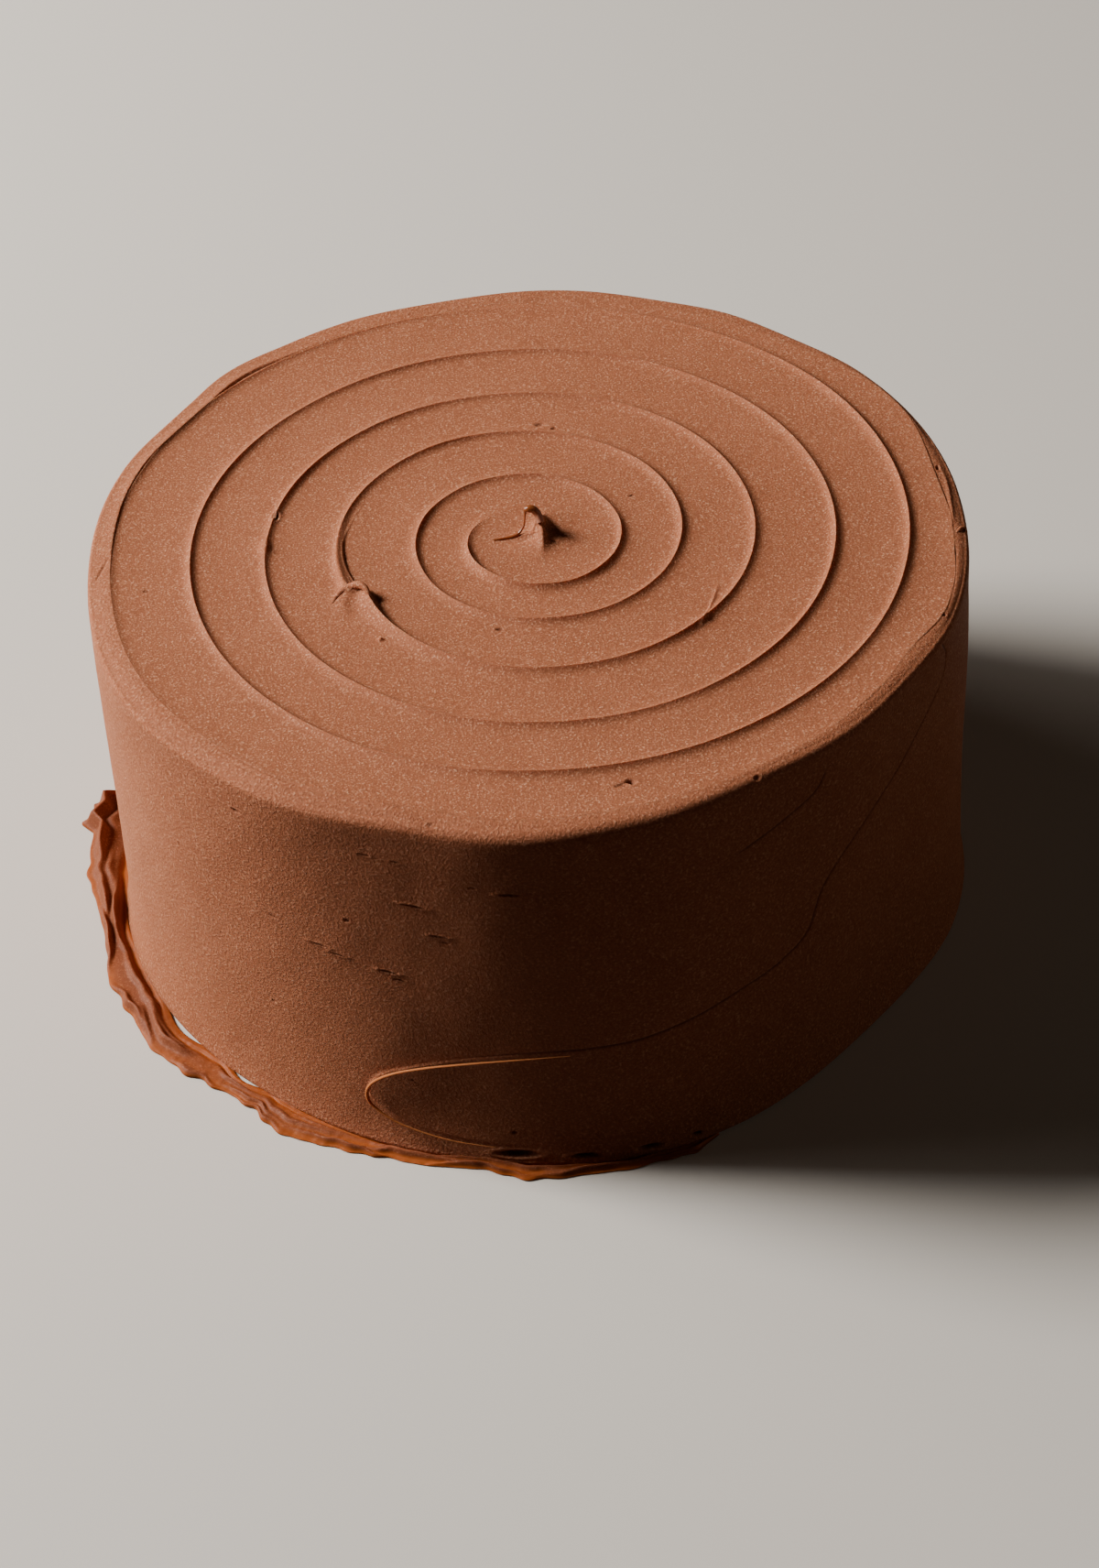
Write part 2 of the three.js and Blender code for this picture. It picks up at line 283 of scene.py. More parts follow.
@dataclass(frozen=True)
class Line:
    """A groove, ridge or step that the spatula's edge drew.

    Each of depth, step and dark is a list of pairs: how far along the line, from 0 to 1, and the value there.
    A groove's depth is plus and a ridge's minus. A step raises the frosting to the right of the line. Dark paints shade
    into the groove or crack.
    """

    sheet: Sheet
    points: tuple[tuple[float, float], ...]
    width: float = 0.25
    depth: tuple[tuple[float, float], ...] = ((0, 0), (0.1, 0.3), (0.9, 0.3), (1, 0))
    step: tuple[tuple[float, float], ...] = ((0, 0), (1, 0))
    dark: tuple[tuple[float, float], ...] = ((0, 0), (0.1, 1), (0.9, 1), (1, 0))
    fade: float = 12.0
    samples: int = 70

    def read(self, flat: np.ndarray) -> tuple[np.ndarray, np.ndarray, np.ndarray]:
        """Reads the line at points of its sheet.

        Args:
            flat: Flat coordinates in millimetres.

        Returns:
            The relief in millimetres, the painted shade along the line, and whether the mesh needs to be fine there.
        """
        path = smooth_path([tuple(pair) for pair in flatten(self.sheet, np.array(self.points))], self.samples)
        reach = self.fade * 3 if any(value for _, value in self.step) else self.width * 5 + 1
        inside = np.all((flat > path.min(0) - reach) & (flat < path.max(0) + reach), axis=1)
        relief, torn_and_shade = np.zeros(len(flat)), np.zeros(len(flat))
        fine = np.zeros(len(flat), bool)
        if not inside.any():
            return relief, torn_and_shade, fine
        signed, along = self.measure(path, flat[inside])
        beside = np.exp(-(np.abs(signed) / self.width) ** 2)
        depth = np.interp(along, *np.array(self.depth, float).T)
        step = np.interp(along, *np.array(self.step, float).T)
        past = np.maximum(-signed, 0.0)
        rise = smoothstep(-signed, -0.14, 0.14) * np.exp(-past / self.fade)
        relief[inside] = step * rise - depth * beside
        # Painted shade: the line's dark share darkens the groove or crack.
        torn_and_shade[inside] = np.interp(along, *np.array(self.dark, float).T) * beside
        fine[inside] = np.abs(signed) < self.width * 2 + 0.5
        return relief, torn_and_shade, fine

    @staticmethod
    def measure(path: np.ndarray, flat: np.ndarray) -> tuple[np.ndarray, np.ndarray]:
        """Measures points against the line.

        Args:
            path: The line's points.
            flat: The points to measure.

        Returns:
            The distance to the line, minus on its right, and how far along it the nearest place is.
        """
        best = np.full(len(flat), np.inf)
        signed = np.zeros(len(flat))
        along = np.zeros(len(flat))
        for number, (start, end) in enumerate(zip(path[:-1], path[1:])):
            run = end - start
            away = flat - start
            share = np.clip(away @ run / (run @ run), 0.0, 1.0)
            gap = np.hypot(*(away - share[:, None] * run).T)
            nearer = gap < best
            side = np.sign(run[0] * away[:, 1] - run[1] * away[:, 0])
            best[nearer] = gap[nearer]
            signed[nearer] = (gap * side)[nearer]
            along[nearer] = (number + share[nearer]) / (len(path) - 1)
        return signed, along


@dataclass(frozen=True)
class Mound:
    """Frosting drawn up into crests with hollow slopes; where crests meet, the higher one counts.

    Each crest is a path of points: place on the sheet, height, and how wide the left and the right slope are.
    """

    sheet: Sheet
    crests: tuple[tuple[tuple[float, float, float, float, float], ...], ...]
    power: float = 1.0
    samples: int = 60
    reach: float = 7.0

    def read(self, flat: np.ndarray) -> tuple[np.ndarray, np.ndarray, np.ndarray]:
        """Reads the mound at points of its sheet.

        Args:
            flat: Flat coordinates in millimetres.

        Returns:
            The relief in millimetres, no tearing nor painted shade, and no need of a finer mesh.
        """
        relief = np.zeros(len(flat))
        for crest in self.crests:
            rows = np.array(crest, float)
            rows[:, :2] = flatten(self.sheet, rows[:, :2])
            path = smooth_path([tuple(row) for row in rows], self.samples)
            low, high = path[:, :2].min(0) - self.reach, path[:, :2].max(0) + self.reach
            inside = np.all((flat > low) & (flat < high), axis=1)
            if not inside.any():
                continue
            signed, along = Line.measure(path[:, :2], flat[inside])
            share = np.linspace(0.0, 1.0, len(path))
            height, left, right = (np.interp(along, share, path[:, column]) for column in (2, 3, 4))
            away = np.hypot(signed, 0.25) - 0.25
            slope = np.exp(-(away / np.where(signed > 0, left, right)) ** self.power)
            relief[inside] = np.maximum(relief[inside], height * slope)
        return relief, np.zeros(len(flat)), np.zeros(len(flat), bool)


@dataclass
class Marks:
    """The marks on one piece: it makes the mesh fine beside them, moves it and stores the painted shade that darkens
    its holes and grooves.
    """

    marks: tuple[Pit | Line | Mound, ...]
    top: float
    cuts: int = 2

    def read(self, points: np.ndarray) -> tuple[np.ndarray, np.ndarray, np.ndarray]:
        """Adds up all marks at points in space.

        Args:
            points: Points in millimetres, one a row.

        Returns:
            The relief in millimetres, the painted shade in holes and grooves, and whether the mesh needs to be fine
            there.
        """
        relief, torn_and_shade = np.zeros(len(points)), np.zeros(len(points))
        fine = np.zeros(len(points), bool)
        depth = self.top - points[:, 2]
        for mark in self.marks:
            side = mark.sheet is Sheet.SIDE
            here = depth > 2.2 if side else depth < 3.2
            moved, mark_shade, close = mark.read(unroll(mark.sheet, points, self.top))
            relief += moved * here
            torn_and_shade = np.maximum(torn_and_shade, mark_shade * here)
            fine |= close & here
        return relief, torn_and_shade, fine

    def carve(self, mesh: bpy.types.Mesh) -> None:
        """Cuts the marks into a mesh.

        Args:
            mesh: The mesh, in metres.
        """
        _, _, fine = self.read(read_points(mesh))
        bm = bmesh.new()
        bm.from_mesh(mesh)
        bm.verts.ensure_lookup_table()
        near = [edge for edge in bm.edges if fine[edge.verts[0].index] or fine[edge.verts[1].index]]
        bmesh.ops.subdivide_edges(bm, edges=near, cuts=self.cuts, use_grid_fill=True)
        bm.to_mesh(mesh)
        bm.free()
        points = read_points(mesh)
        normals = np.empty(len(mesh.vertices) * 3, np.float32)
        mesh.vertex_normals.foreach_get("vector", normals)
        relief, torn_and_shade, _ = self.read(points)
        write_points(mesh, points + normals.reshape(-1, 3) * relief[:, None])
        # Stores the painted shade of holes, grooves and cracks for the material to mix in.
        store(mesh, "torn_and_shade", torn_and_shade)


def store(mesh: bpy.types.Mesh, name: str, values: np.ndarray) -> None:
    """Stores one number for each vertex of a mesh, for a material to read."""
    attribute = mesh.attributes.new(name, "FLOAT", "POINT")
    attribute.data.foreach_set("value", np.asarray(values, np.float32))


# Holes and grooves with a dark share are darkened with painted shade, where light does not reach into them.
TOP_MARKS: tuple[Pit | Line | Mound, ...] = (
    Mound(Sheet.TOP, (
        ((3.4, -10.5, 0.0, 2.6, 1.5), (3.7, -8.6, 0.2, 2.8, 1.6), (4.1, -6.8, 0.6, 2.8, 1.6),
         (4.5, -5.2, 1.5, 2.7, 1.3), (4.6, -3.8, 2.6, 2.4, 1.2), (4.6, -2.4, 3.6, 2.0, 1.1),
         (4.3, -1.1, 4.1, 1.5, 1.0), (3.9, 0.0, 5.3, 1.1, 0.9), (3.5, 0.9, 6.1, 0.9, 0.9),
         (3.9, 1.8, 5.6, 1.0, 1.1), (4.4, 2.9, 4.5, 1.2, 1.3), (4.7, 4.3, 3.1, 1.4, 1.6),
         (4.9, 5.8, 1.9, 1.6, 1.8), (5.0, 7.4, 0.8, 1.8, 1.8), (5.0, 9.4, 0.0, 1.8, 1.8)),
        ((4.2, -1.9, 3.2, 1.0, 2.2), (2.9, -1.3, 2.5, 0.9, 2.2), (1.6, -0.9, 1.9, 0.8, 2.0),
         (0.3, -0.7, 1.25, 0.7, 1.8), (-1.1, -0.65, 0.7, 0.6, 1.3), (-2.8, -0.75, 0.35, 0.5, 0.9),
         (-4.8, -0.88, 0.15, 0.5, 0.6), (-7.4, -0.95, 0.0, 0.4, 0.4)))),
    Mound(Sheet.ROUND, (
        ((164.0, 44.5, 0.0, 0.5, 0.5), (176.0, 44.6, 0.3, 0.5, 0.6), (184.0, 44.8, 0.5, 0.6, 0.9),
         (190.0, 44.9, 0.6, 0.7, 1.2), (196.0, 44.9, 0.7, 0.9, 1.6), (201.0, 45.2, 0.85, 1.1, 2.2),
         (203.6, 46.6, 0.95, 1.6, 2.2),
         (206.0, 48.4, 0.85, 1.7, 2.0), (209.0, 49.9, 0.45, 1.5, 1.6), (213.0, 51.3, 0.0, 1.2, 1.2)),), power=2.2),
    Pit(Sheet.TOP, (9.0, 43.7), 0.8, 0.45, 0.6, 20), Pit(Sheet.TOP, (20.8, -90.8), 1.05, 0.8, 1.1, -35),
    Pit(Sheet.TOP, (19.0, -92.0), 0.6, 0.45, 0.5, 20), Pit(Sheet.TOP, (-34.8, -36.3), 0.55, 0.5, -0.8),
    Pit(Sheet.TOP, (5.5, 45.8), 1.3, 0.8, 0.4, 10), Pit(Sheet.TOP, (-63.0, 1.0), 3.0, 1.8, -0.5, 90),
    Pit(Sheet.TOP, (-60.5, 13.0), 1.4, 0.8, 0.7, 80), Pit(Sheet.TOP, (-6.8, -35.0), 1.0, 0.5, 0.5),
    Pit(Sheet.TOP, (-91.0, -12.8), 0.8, 0.6, 0.6), Pit(Sheet.TOP, (27.0, 14.0), 0.8, 0.4, 0.3, 30),
    Line(Sheet.TOP, ((20.0, -90.6), (18.4, -91.4), (17.0, -92.2)), 0.28),
    Line(Sheet.ROUND, ((335, 50.5), (328, 52.0), (321, 54.0), (315, 56.0)), 0.35,
         depth=((0, 0), (0.3, -0.35), (0.7, -0.35), (1, 0)), dark=((0, 0), (1, 0))),
    Line(Sheet.ROUND, ((152, 42.8), (165, 42.9), (176, 43.8), (183, 44.2), (190, 44.2), (198, 43.8), (203, 43.6)),
         0.3, depth=((0, 0), (0.25, -0.15), (0.75, -0.25), (0.9, -0.45), (1, -0.7)), dark=((0, 0), (1, 0))),
    Line(Sheet.ROUND, ((205.6, 48.6), (206.2, 49.8), (206.2, 51.4)), 0.28,
         depth=((0, 0.0), (0.3, 0.2), (0.8, 0.2), (1, 0)), dark=((0, 0), (0.3, 0.5), (1, 0.3))),
)

# The band's holes and cracks are darkened with painted shade by their dark share.
BAND_MARKS: tuple[Pit | Line | Mound, ...] = (
    Pit(Sheet.ROUND, (28, 105.0), 0.7, 0.4, 0.6), Pit(Sheet.ROUND, (24, 104.9), 0.7, 0.4, 0.6),
    Pit(Sheet.ROUND, (10, 104.4), 0.9, 0.5, 0.7, 80), Pit(Sheet.ROUND, (4, 102.9), 0.7, 0.4, 0.5),
    Pit(Sheet.ROUND, (338, 104.4), 0.7, 0.5, 0.6), Pit(Sheet.ROUND, (298, 103.6), 0.8, 0.5, 0.35, 30),
    Line(Sheet.ROUND, ((12, 105.4), (7, 105.0), (1, 104.0), (357, 103.7)), 0.5,
         depth=((0, 0), (0.4, -0.3), (0.8, -0.3), (1, 0)), dark=((0, 0), (1, 0))),
    Line(Sheet.ROUND, ((353, 103.9), (348, 103.9), (344, 104.3), (340, 103.5), (333, 101.9)), 0.35),
    Line(Sheet.ROUND, ((178.9, 100.4), (182.0, 102.2), (184.5, 104.1)), 0.3,
         depth=((0, 0), (0.4, 0.3), (0.8, 0.3), (1, 0)), dark=((0, 0), (0.5, 0.25), (1, 0))),
    Line(Sheet.ROUND, ((200.3, 103.8), (199.4, 102.6)), 0.3, depth=((0, 0), (0.4, 0.25), (1, 0)),
         dark=((0, 0), (0.5, 0.25), (1, 0))),
    Line(Sheet.ROUND, ((209.6, 101.8), (208.6, 103.4)), 0.3, depth=((0, 0), (0.4, 0.25), (1, 0)),
         dark=((0, 0), (0.5, 0.25), (1, 0))),
    Mound(Sheet.ROUND, (((232, 97.9, 0.0, 0.5, 1.6), (240, 98.2, 0.22, 0.5, 2.2), (247.5, 99.1, 0.32, 0.5, 2.6),
                         (251.6, 100.6, 0.4, 0.5, 2.2), (255.0, 102.4, 0.35, 0.5, 1.4), (257.0, 103.2, 0.0, 0.4, 0.6)),),
          power=1.5),
    Pit(Sheet.ROUND, (256.6, 103.4), 0.8, 0.35, 0.2, 40),
    Line(Sheet.ROUND, ((225, 101.2), (232, 101.0), (240, 101.0), (250, 101.8)), 0.3,
         depth=((0, 0), (0.4, 0.25), (0.8, 0.25), (1, 0)), dark=((0, 0), (1, 0))),
    Line(Sheet.ROUND, ((222, 102.4), (230, 102.3), (238, 102.2), (247, 102.9)), 0.3,
         depth=((0, 0), (0.4, 0.22), (0.8, 0.22), (1, 0)), dark=((0, 0), (1, 0))),
)

# The side's holes and grooves, and the crack along the step, are darkened with painted shade by their dark share; the
# holes at the foot take the deepest.
SIDE_MARKS: tuple[Pit | Line | Mound, ...] = (
    Line(Sheet.SIDE, (
        (333.3, 1.5), (335.0, 7.0), (334.0, 13.5), (328.0, 19.6), (322.0, 26.0), (315.0, 33.0), (308.3, 43.0),
        (305.5, 55.0), (301.0, 59.5), (293.0, 62.7), (281.0, 66.5), (270.0, 67.5), (263.0, 69.4), (256.0, 73.2),
        (249.0, 79.0), (246.2, 83.8), (245.5, 88.3), (247.0, 92.3), (253.0, 96.8), (259.0, 98.3), (267.0, 99.3)),
        0.24, samples=130, fade=14.0,
        depth=((0, 0.15), (0.05, 0.4), (0.5, 0.35), (0.62, 0.15), (0.68, -0.1), (0.85, -0.12), (0.95, -0.05), (1, 0)),
        step=((0, 0.02), (0.45, 0.06), (0.6, 0.14), (0.7, 0.3), (0.85, 0.35), (0.95, 0.25), (1, 0.1)),
        dark=((0, 0.9), (0.5, 0.95), (0.6, 0.6), (0.66, 0), (1, 0))),
    Line(Sheet.SIDE, ((308.3, 6.8), (307.0, 11.0), (305.0, 13.5), (300.0, 16.6), (293.5, 19.6)), 0.22),
    Pit(Sheet.SIDE, (248.0, 11.2), 1.6, 0.3, 0.2, burr=0.6), Pit(Sheet.SIDE, (252.0, 11.6), 1.2, 0.3, 0.2, burr=0.6),
    Pit(Sheet.SIDE, (254.0, 24.3), 2.6, 0.32, 0.5, 5, burr=0.5),
    Pit(Sheet.SIDE, (256.8, 32.6), 2.0, 0.3, 0.45, burr=0.5), Pit(Sheet.SIDE, (257.6, 34.2), 1.3, 0.26, 0.4),
    Pit(Sheet.SIDE, (266.0, 17.3), 2.4, 0.35, 0.45, burr=0.5), Pit(Sheet.SIDE, (261.5, 16.0), 1.1, 0.3, 0.3),
    Pit(Sheet.SIDE, (240.5, 43.3), 2.4, 0.26, 0.35, 4, burr=0.6),
    Pit(Sheet.SIDE, (243.0, 44.7), 2.0, 0.26, 0.35, 4, burr=0.6),
    Pit(Sheet.SIDE, (249.8, 46.6), 2.2, 0.3, 0.5, 4, burr=0.5),
    Pit(Sheet.SIDE, (251.2, 48.5), 1.5, 0.28, 0.45, 4, burr=0.5),
    Pit(Sheet.SIDE, (244.8, 33.0), 0.8, 0.55, 0.4), Pit(Sheet.SIDE, (218.0, 33.6), 0.5, 0.35, 0.35),
    Pit(Sheet.SIDE, (230.2, 10.0), 1.2, 0.5, 0.5, 8), Pit(Sheet.SIDE, (224.0, 55.7), 0.6, 0.35, 0.3),
    Pit(Sheet.SIDE, (234.0, 39.6), 1.5, 0.22, 0.25, 4), Pit(Sheet.SIDE, (232.0, 69.7), 0.6, 0.4, 0.35),
    Pit(Sheet.SIDE, (264.5, 94.8), 0.8, 0.5, 0.5), Pit(Sheet.SIDE, (251.7, 81.0), 0.5, 0.4, 0.4),
    Pit(Sheet.SIDE, (273.2, 102.0), 3.2, 0.7, 1.2, dark=1.0), Pit(Sheet.SIDE, (281.2, 102.0), 3.0, 0.7, 1.2, dark=1.0),
    Pit(Sheet.SIDE, (264.8, 101.6), 4.6, 1.0, 1.3, -2, dark=1.0), Pit(Sheet.SIDE, (287.5, 102.2), 1.4, 0.6, 0.9, dark=1.0),
)


@dataclass(frozen=True)
class CakeForm:
    """The cake's overall form, shared by every piece, in millimetres."""

    height: float = 105.0
    rim_radius: float = 106.5
    foot_radius: float = 109.0
    foot_round: float = 1.6
    rim_bumps: tuple[Bump, ...] = (
        Bump(264, 24, -1.3),
        Bump(20, 34, 1.2), Bump(47, 12, -0.9), Bump(69, 12, -0.9), Bump(75, 95, 1.3), Bump(100, 15, -1.1),
        Bump(133, 10, 1.1), Bump(147, 12, -1.0), Bump(181, 18, -0.6), Bump(210, 20, 0.9), Bump(248, 16, -1.0),
        Bump(268, 15, 1.8), Bump(300, 20, -1.9), Bump(322, 16, -1.1), Bump(345, 20, 0.8),
    )
    foot_bumps: tuple[Bump, ...] = (
        Bump(192, 26, 1.2), Bump(231, 22, -0.9), Bump(280, 24, 2.0), Bump(317, 24, -2.9), Bump(350, 24, 1.6),
    )

    def rim_at(self, azimuth: np.ndarray) -> np.ndarray:
        """Returns the rim's radius at each azimuth."""
        return self.rim_radius + total(self.rim_bumps, azimuth)

    def foot_at(self, azimuth: np.ndarray) -> np.ndarray:
        """Returns the foot's radius at each azimuth."""
        return self.foot_radius + total(self.foot_bumps, azimuth)


@dataclass(frozen=True)
class RimBand:
    """The scraped band between the last turn of the spiral and the side."""

    form: CakeForm = field(default_factory=CakeForm)
    width: float = 2.8
    drop: float = 0.15
    round_drop: float = 1.3
    round_width: float = 1.1
    wide: tuple[Bump, ...] = (
        Bump(215, 60, 3.4), Bump(165, 45, 2.2), Bump(110, 60, 3.8), Bump(58, 24, 1.2), Bump(8, 15, 1.9),
        Bump(28, 14, -0.9), Bump(354, 10, 0.9), Bump(331, 9, 1.7), Bump(316, 22, 1.3), Bump(270, 50, 2.6))
    lower: tuple[Bump, ...] = (Bump(222, 60, 1.5), Bump(335, 50, 0.5), Bump(15, 34, 0.7))
    crown: tuple[Bump, ...] = (Bump(156, 60, 0.85),)
    rounder: Bump = Bump(276, 66, 1.7)
    ease: float = 1.8
    step: tuple[Bump, ...] = (
        Bump(10, 26, 0.3), Bump(337, 12, 0.22), Bump(319, 12, 0.12), Bump(218, 46, 0.12))

    def inner_radius(self, azimuth: np.ndarray) -> np.ndarray:
        """Returns the radius of the band's inner edge at each azimuth."""
        return self.form.rim_at(azimuth) - self.width - total(self.wide, azimuth)


@dataclass(frozen=True)
class SpiralPath:
    """The line of the spiral's crest, counted in turns from where it rises out of the centre."""

    band: RimBand = field(default_factory=RimBand)
    start: float = 120.0
    turns: float = 5.33
    half_turn_radii: tuple[float, ...] = (
        11.7, 20.8, 25.2, 33.8, 44.1, 52.1, 60.8, 71.2, 79.9, 87.7, 100.9, 103.4)
    off_centre: tuple[float, float] = (1.45, 341.0)
    oval: tuple[float, float] = (0.47, 126.0)
    merge_turns: float = 0.18
    crest_height: float = 1.0
    taller_toward: float = 315.0
    taller_by: float = 0.07
    first_loop: tuple[float, float, float] = (0.34, 0.26, 0.55)
    inner_width: float = 2.6
    outer_width: float = 3.2
    fade_in: float = 0.3
    fade_out: float = 0.3
    soft_turn: float = 4.92
    soft_half: float = 0.16
    soft_share: float = 0.7
    pause_turn: float = 2.233
    pause_shift: float = 4.0
    pause_rise: float = 1.8
    pause_width: float = 3.2
    pause_fade: float = 0.085

    def azimuth(self, turns: np.ndarray) -> np.ndarray:
        """Returns the azimuth in degrees after so many turns."""
        return self.start + 360.0 * np.asarray(turns, float)

    def after_pause(self, turns: np.ndarray) -> np.ndarray:
        """Says how strongly the fold left by the spatula's pause shows.

        Args:
            turns: Turns along the spiral.

        Returns:
            1 just past the pause, fading over the next stretch, and 0 before it.
        """
        past = np.asarray(turns, float) - self.pause_turn
        return smoothstep(past, -0.004, 0.006) * np.exp(-np.maximum(past, 0.0) / self.pause_fade)

    def radius(self, turns: np.ndarray) -> np.ndarray:
        """Gives the crest's radius.

        Args:
            turns: Turns along the spiral. Before 0 the line runs in to the centre.

        Returns:
            The radius in millimetres.
        """
        turns = np.asarray(turns, float)
        angle = np.radians(self.azimuth(turns))
        shift = self.off_centre[0] * np.cos(angle - math.radians(self.off_centre[1]))
        stretch = self.oval[0] * np.cos(2 * (angle - math.radians(self.oval[1])))
        line = catmull_rom(self.half_turn_radii, 2 * np.maximum(turns, 0.0)) + shift + stretch
        line = line - self.pause_shift * self.after_pause(turns)
        centre = smoothstep(turns, -1.0, 0.0)
        edge = self.band.inner_radius(self.azimuth(turns))
        merged = smoothstep(turns, self.turns - self.merge_turns, self.turns)
        inside = np.minimum(line, edge) * (1 - merged) + edge * merged
        return inside * centre

    def crest(self, turns: np.ndarray) -> np.ndarray:
        """Returns the crest's height above the floor of its channel, in millimetres."""
        turns = np.asarray(turns, float)
        rise = smoothstep(turns, 0.0, self.fade_in)
        fall = 1 - smoothstep(turns, self.turns - self.fade_out, self.turns - 0.02)
        lean = 1 + self.taller_by * np.cos(np.radians(self.azimuth(turns) - self.taller_toward))
        soft = np.maximum(1 - ((turns - self.soft_turn) / self.soft_half) ** 2, 0.0)
        uneven = 1 - self.soft_share * soft + 0.12 * np.sin(turns * 23.0) + 0.08 * np.sin(turns * 57.0 + 1.0)
        middle, half, extra = self.first_loop
        first = extra * np.maximum(1 - ((turns - middle) / half) ** 2, 0.0)
        height = self.crest_height * lean * uneven + first + self.pause_rise * self.after_pause(turns)
        return height * rise * fall

    def widths(self, turns: np.ndarray) -> tuple[np.ndarray, np.ndarray]:
        """Gives the widths of the ridge's two slopes.

        Args:
            turns: Turns along the spiral.

        Returns:
            The widths of the inner and the outer slope in millimetres.
        """
        turns = np.asarray(turns, float)
        outer = self.outer_width + self.pause_width * self.after_pause(turns)
        return np.full_like(turns, self.inner_width), outer


class NodeTree:
    """Builds a Geometry Nodes tree a few nodes at a time."""

    def __init__(self, name: str) -> None:
        """Starts an empty tree.

        Args:
            name: The tree's name.
        """
        self.tree = bpy.data.node_groups.new(name, "GeometryNodeTree")
        self.sockets: dict[str, str] = {}
        self.tree.interface.new_socket("Geometry", in_out="INPUT", socket_type="NodeSocketGeometry")
        self.tree.interface.new_socket("Geometry", in_out="OUTPUT", socket_type="NodeSocketGeometry")
        self.entry = self.tree.nodes.new("NodeGroupInput")
        self.exit = self.tree.nodes.new("NodeGroupOutput")

    def input(self, name: str, kind: str, default: object = None) -> bpy.types.NodeSocket:
        """Adds a named input.

        Args:
            name: The input's name.
            kind: Its type, such as Float, Int or Material.
            default: Its default value.

        Returns:
            The socket inside the tree.
        """
        item = self.tree.interface.new_socket(name, in_out="INPUT", socket_type=f"NodeSocket{kind}")
        if default is not None:
            item.default_value = default
        self.sockets[name] = item.identifier
        return self.entry.outputs[name]

    def add(self, kind: str, links: dict[str | int, object], **settings: object) -> bpy.types.Node:
        """Adds a node.

        Args:
            kind: The node's type.
            links: What goes into each of its inputs, a socket or a value.
            settings: The node's own settings.

        Returns:
            The node.
        """
        node = self.tree.nodes.new(kind)
        for name, value in settings.items():
            setattr(node, name, value)
        for key, value in links.items():
            if isinstance(value, bpy.types.NodeSocket):
                self.tree.links.new(value, node.inputs[key])
            else:
                node.inputs[key].default_value = value
        return node

    def math(self, operation: str, *values: object) -> bpy.types.NodeSocket:
        """Adds a Math node and returns its output."""
        links = dict(enumerate(values))
        return self.add("ShaderNodeMath", links, operation=operation).outputs[0]

    def vector(self, operation: str, *values: object, output: str = "Vector") -> bpy.types.NodeSocket:
        """Adds a Vector Math node and returns one of its outputs."""
        links = dict(enumerate(values))
        return self.add("ShaderNodeVectorMath", links, operation=operation).outputs[output]

    def scaled(self, vector: object, share: object) -> bpy.types.NodeSocket:
        """Adds a node that makes a vector longer or shorter and returns its output."""
        node = self.add("ShaderNodeVectorMath", {0: vector, "Scale": share}, operation="SCALE")
        return node.outputs[0]

    def attribute(self, name: str) -> bpy.types.NodeSocket:
        """Adds a Named Attribute node for a number and returns its output."""
        node = self.add("GeometryNodeInputNamedAttribute", {"Name": name}, data_type="FLOAT")
        return node.outputs["Attribute"]

    def sample(self, source: object, value: object, index: object, kind: str = "FLOAT") -> bpy.types.NodeSocket:
        """Adds a Sample Index node.

        Args:
            source: The geometry that is read.
            value: The field that is read on it.
            index: Which point is read, held at the ends.
            kind: The field's data type.

        Returns:
            The value read.
        """
        node = self.tree.nodes.new("GeometryNodeSampleIndex")
        node.data_type = kind
        node.domain = "POINT"
        node.clamp = True
        self.tree.links.new(source, node.inputs["Geometry"])
        self.tree.links.new(value, node.inputs["Value"])
        self.tree.links.new(index, node.inputs["Index"])
        return node.outputs["Value"]

    def finish(self, geometry: bpy.types.NodeSocket, material: bpy.types.NodeSocket) -> None:
        """Ends the tree with smooth shading, Realize Instances and Set Material.

        Args:
            geometry: The finished geometry.
            material: The material input.
        """
        smooth = self.add("GeometryNodeSetShadeSmooth", {"Geometry": geometry})
        real = self.add("GeometryNodeRealizeInstances", {"Geometry": smooth.outputs["Geometry"]})
        dressed = self.add("GeometryNodeSetMaterial", {"Geometry": real.outputs["Geometry"], "Material": material})
        self.tree.links.new(dressed.outputs["Geometry"], self.exit.inputs["Geometry"])

    def run(self, name: str, source: bpy.types.Mesh, values: dict[str, object]) -> bpy.types.Object:
        """Runs the tree on a mesh and keeps the result as a plain mesh.

        Args:
            name: The new piece's name.
            source: The mesh that the tree starts from.
            values: A value for each named input.

        Returns:
            The piece, with no modifier left on it.
        """
        piece = bpy.data.objects.new(name, source)
        bpy.context.scene.collection.objects.link(piece)
        modifier = piece.modifiers.new("Form", "NODES")
        modifier.node_group = self.tree
        for key, value in values.items():
            modifier[self.sockets[key]] = value
        graph = bpy.context.evaluated_depsgraph_get()
        result = bpy.data.meshes.new_from_object(piece.evaluated_get(graph))
        piece.modifiers.remove(modifier)
        piece.data = result
        result.name = name
        bpy.data.meshes.remove(source)
        return piece


def read_points(mesh: bpy.types.Mesh) -> np.ndarray:
    """Returns a mesh's vertices in millimetres, one a row."""
    flat = np.empty(len(mesh.vertices) * 3, np.float32)
    mesh.vertices.foreach_get("co", flat)
    return flat.reshape(-1, 3).astype(float) / MM


def write_points(mesh: bpy.types.Mesh, points: np.ndarray) -> None:
    """Writes vertices given in millimetres back to a mesh.

    Args:
        mesh: The mesh.
        points: Its vertices, one a row.
    """
    mesh.vertices.foreach_set("co", (points * MM).astype(np.float32).ravel())
    mesh.update()


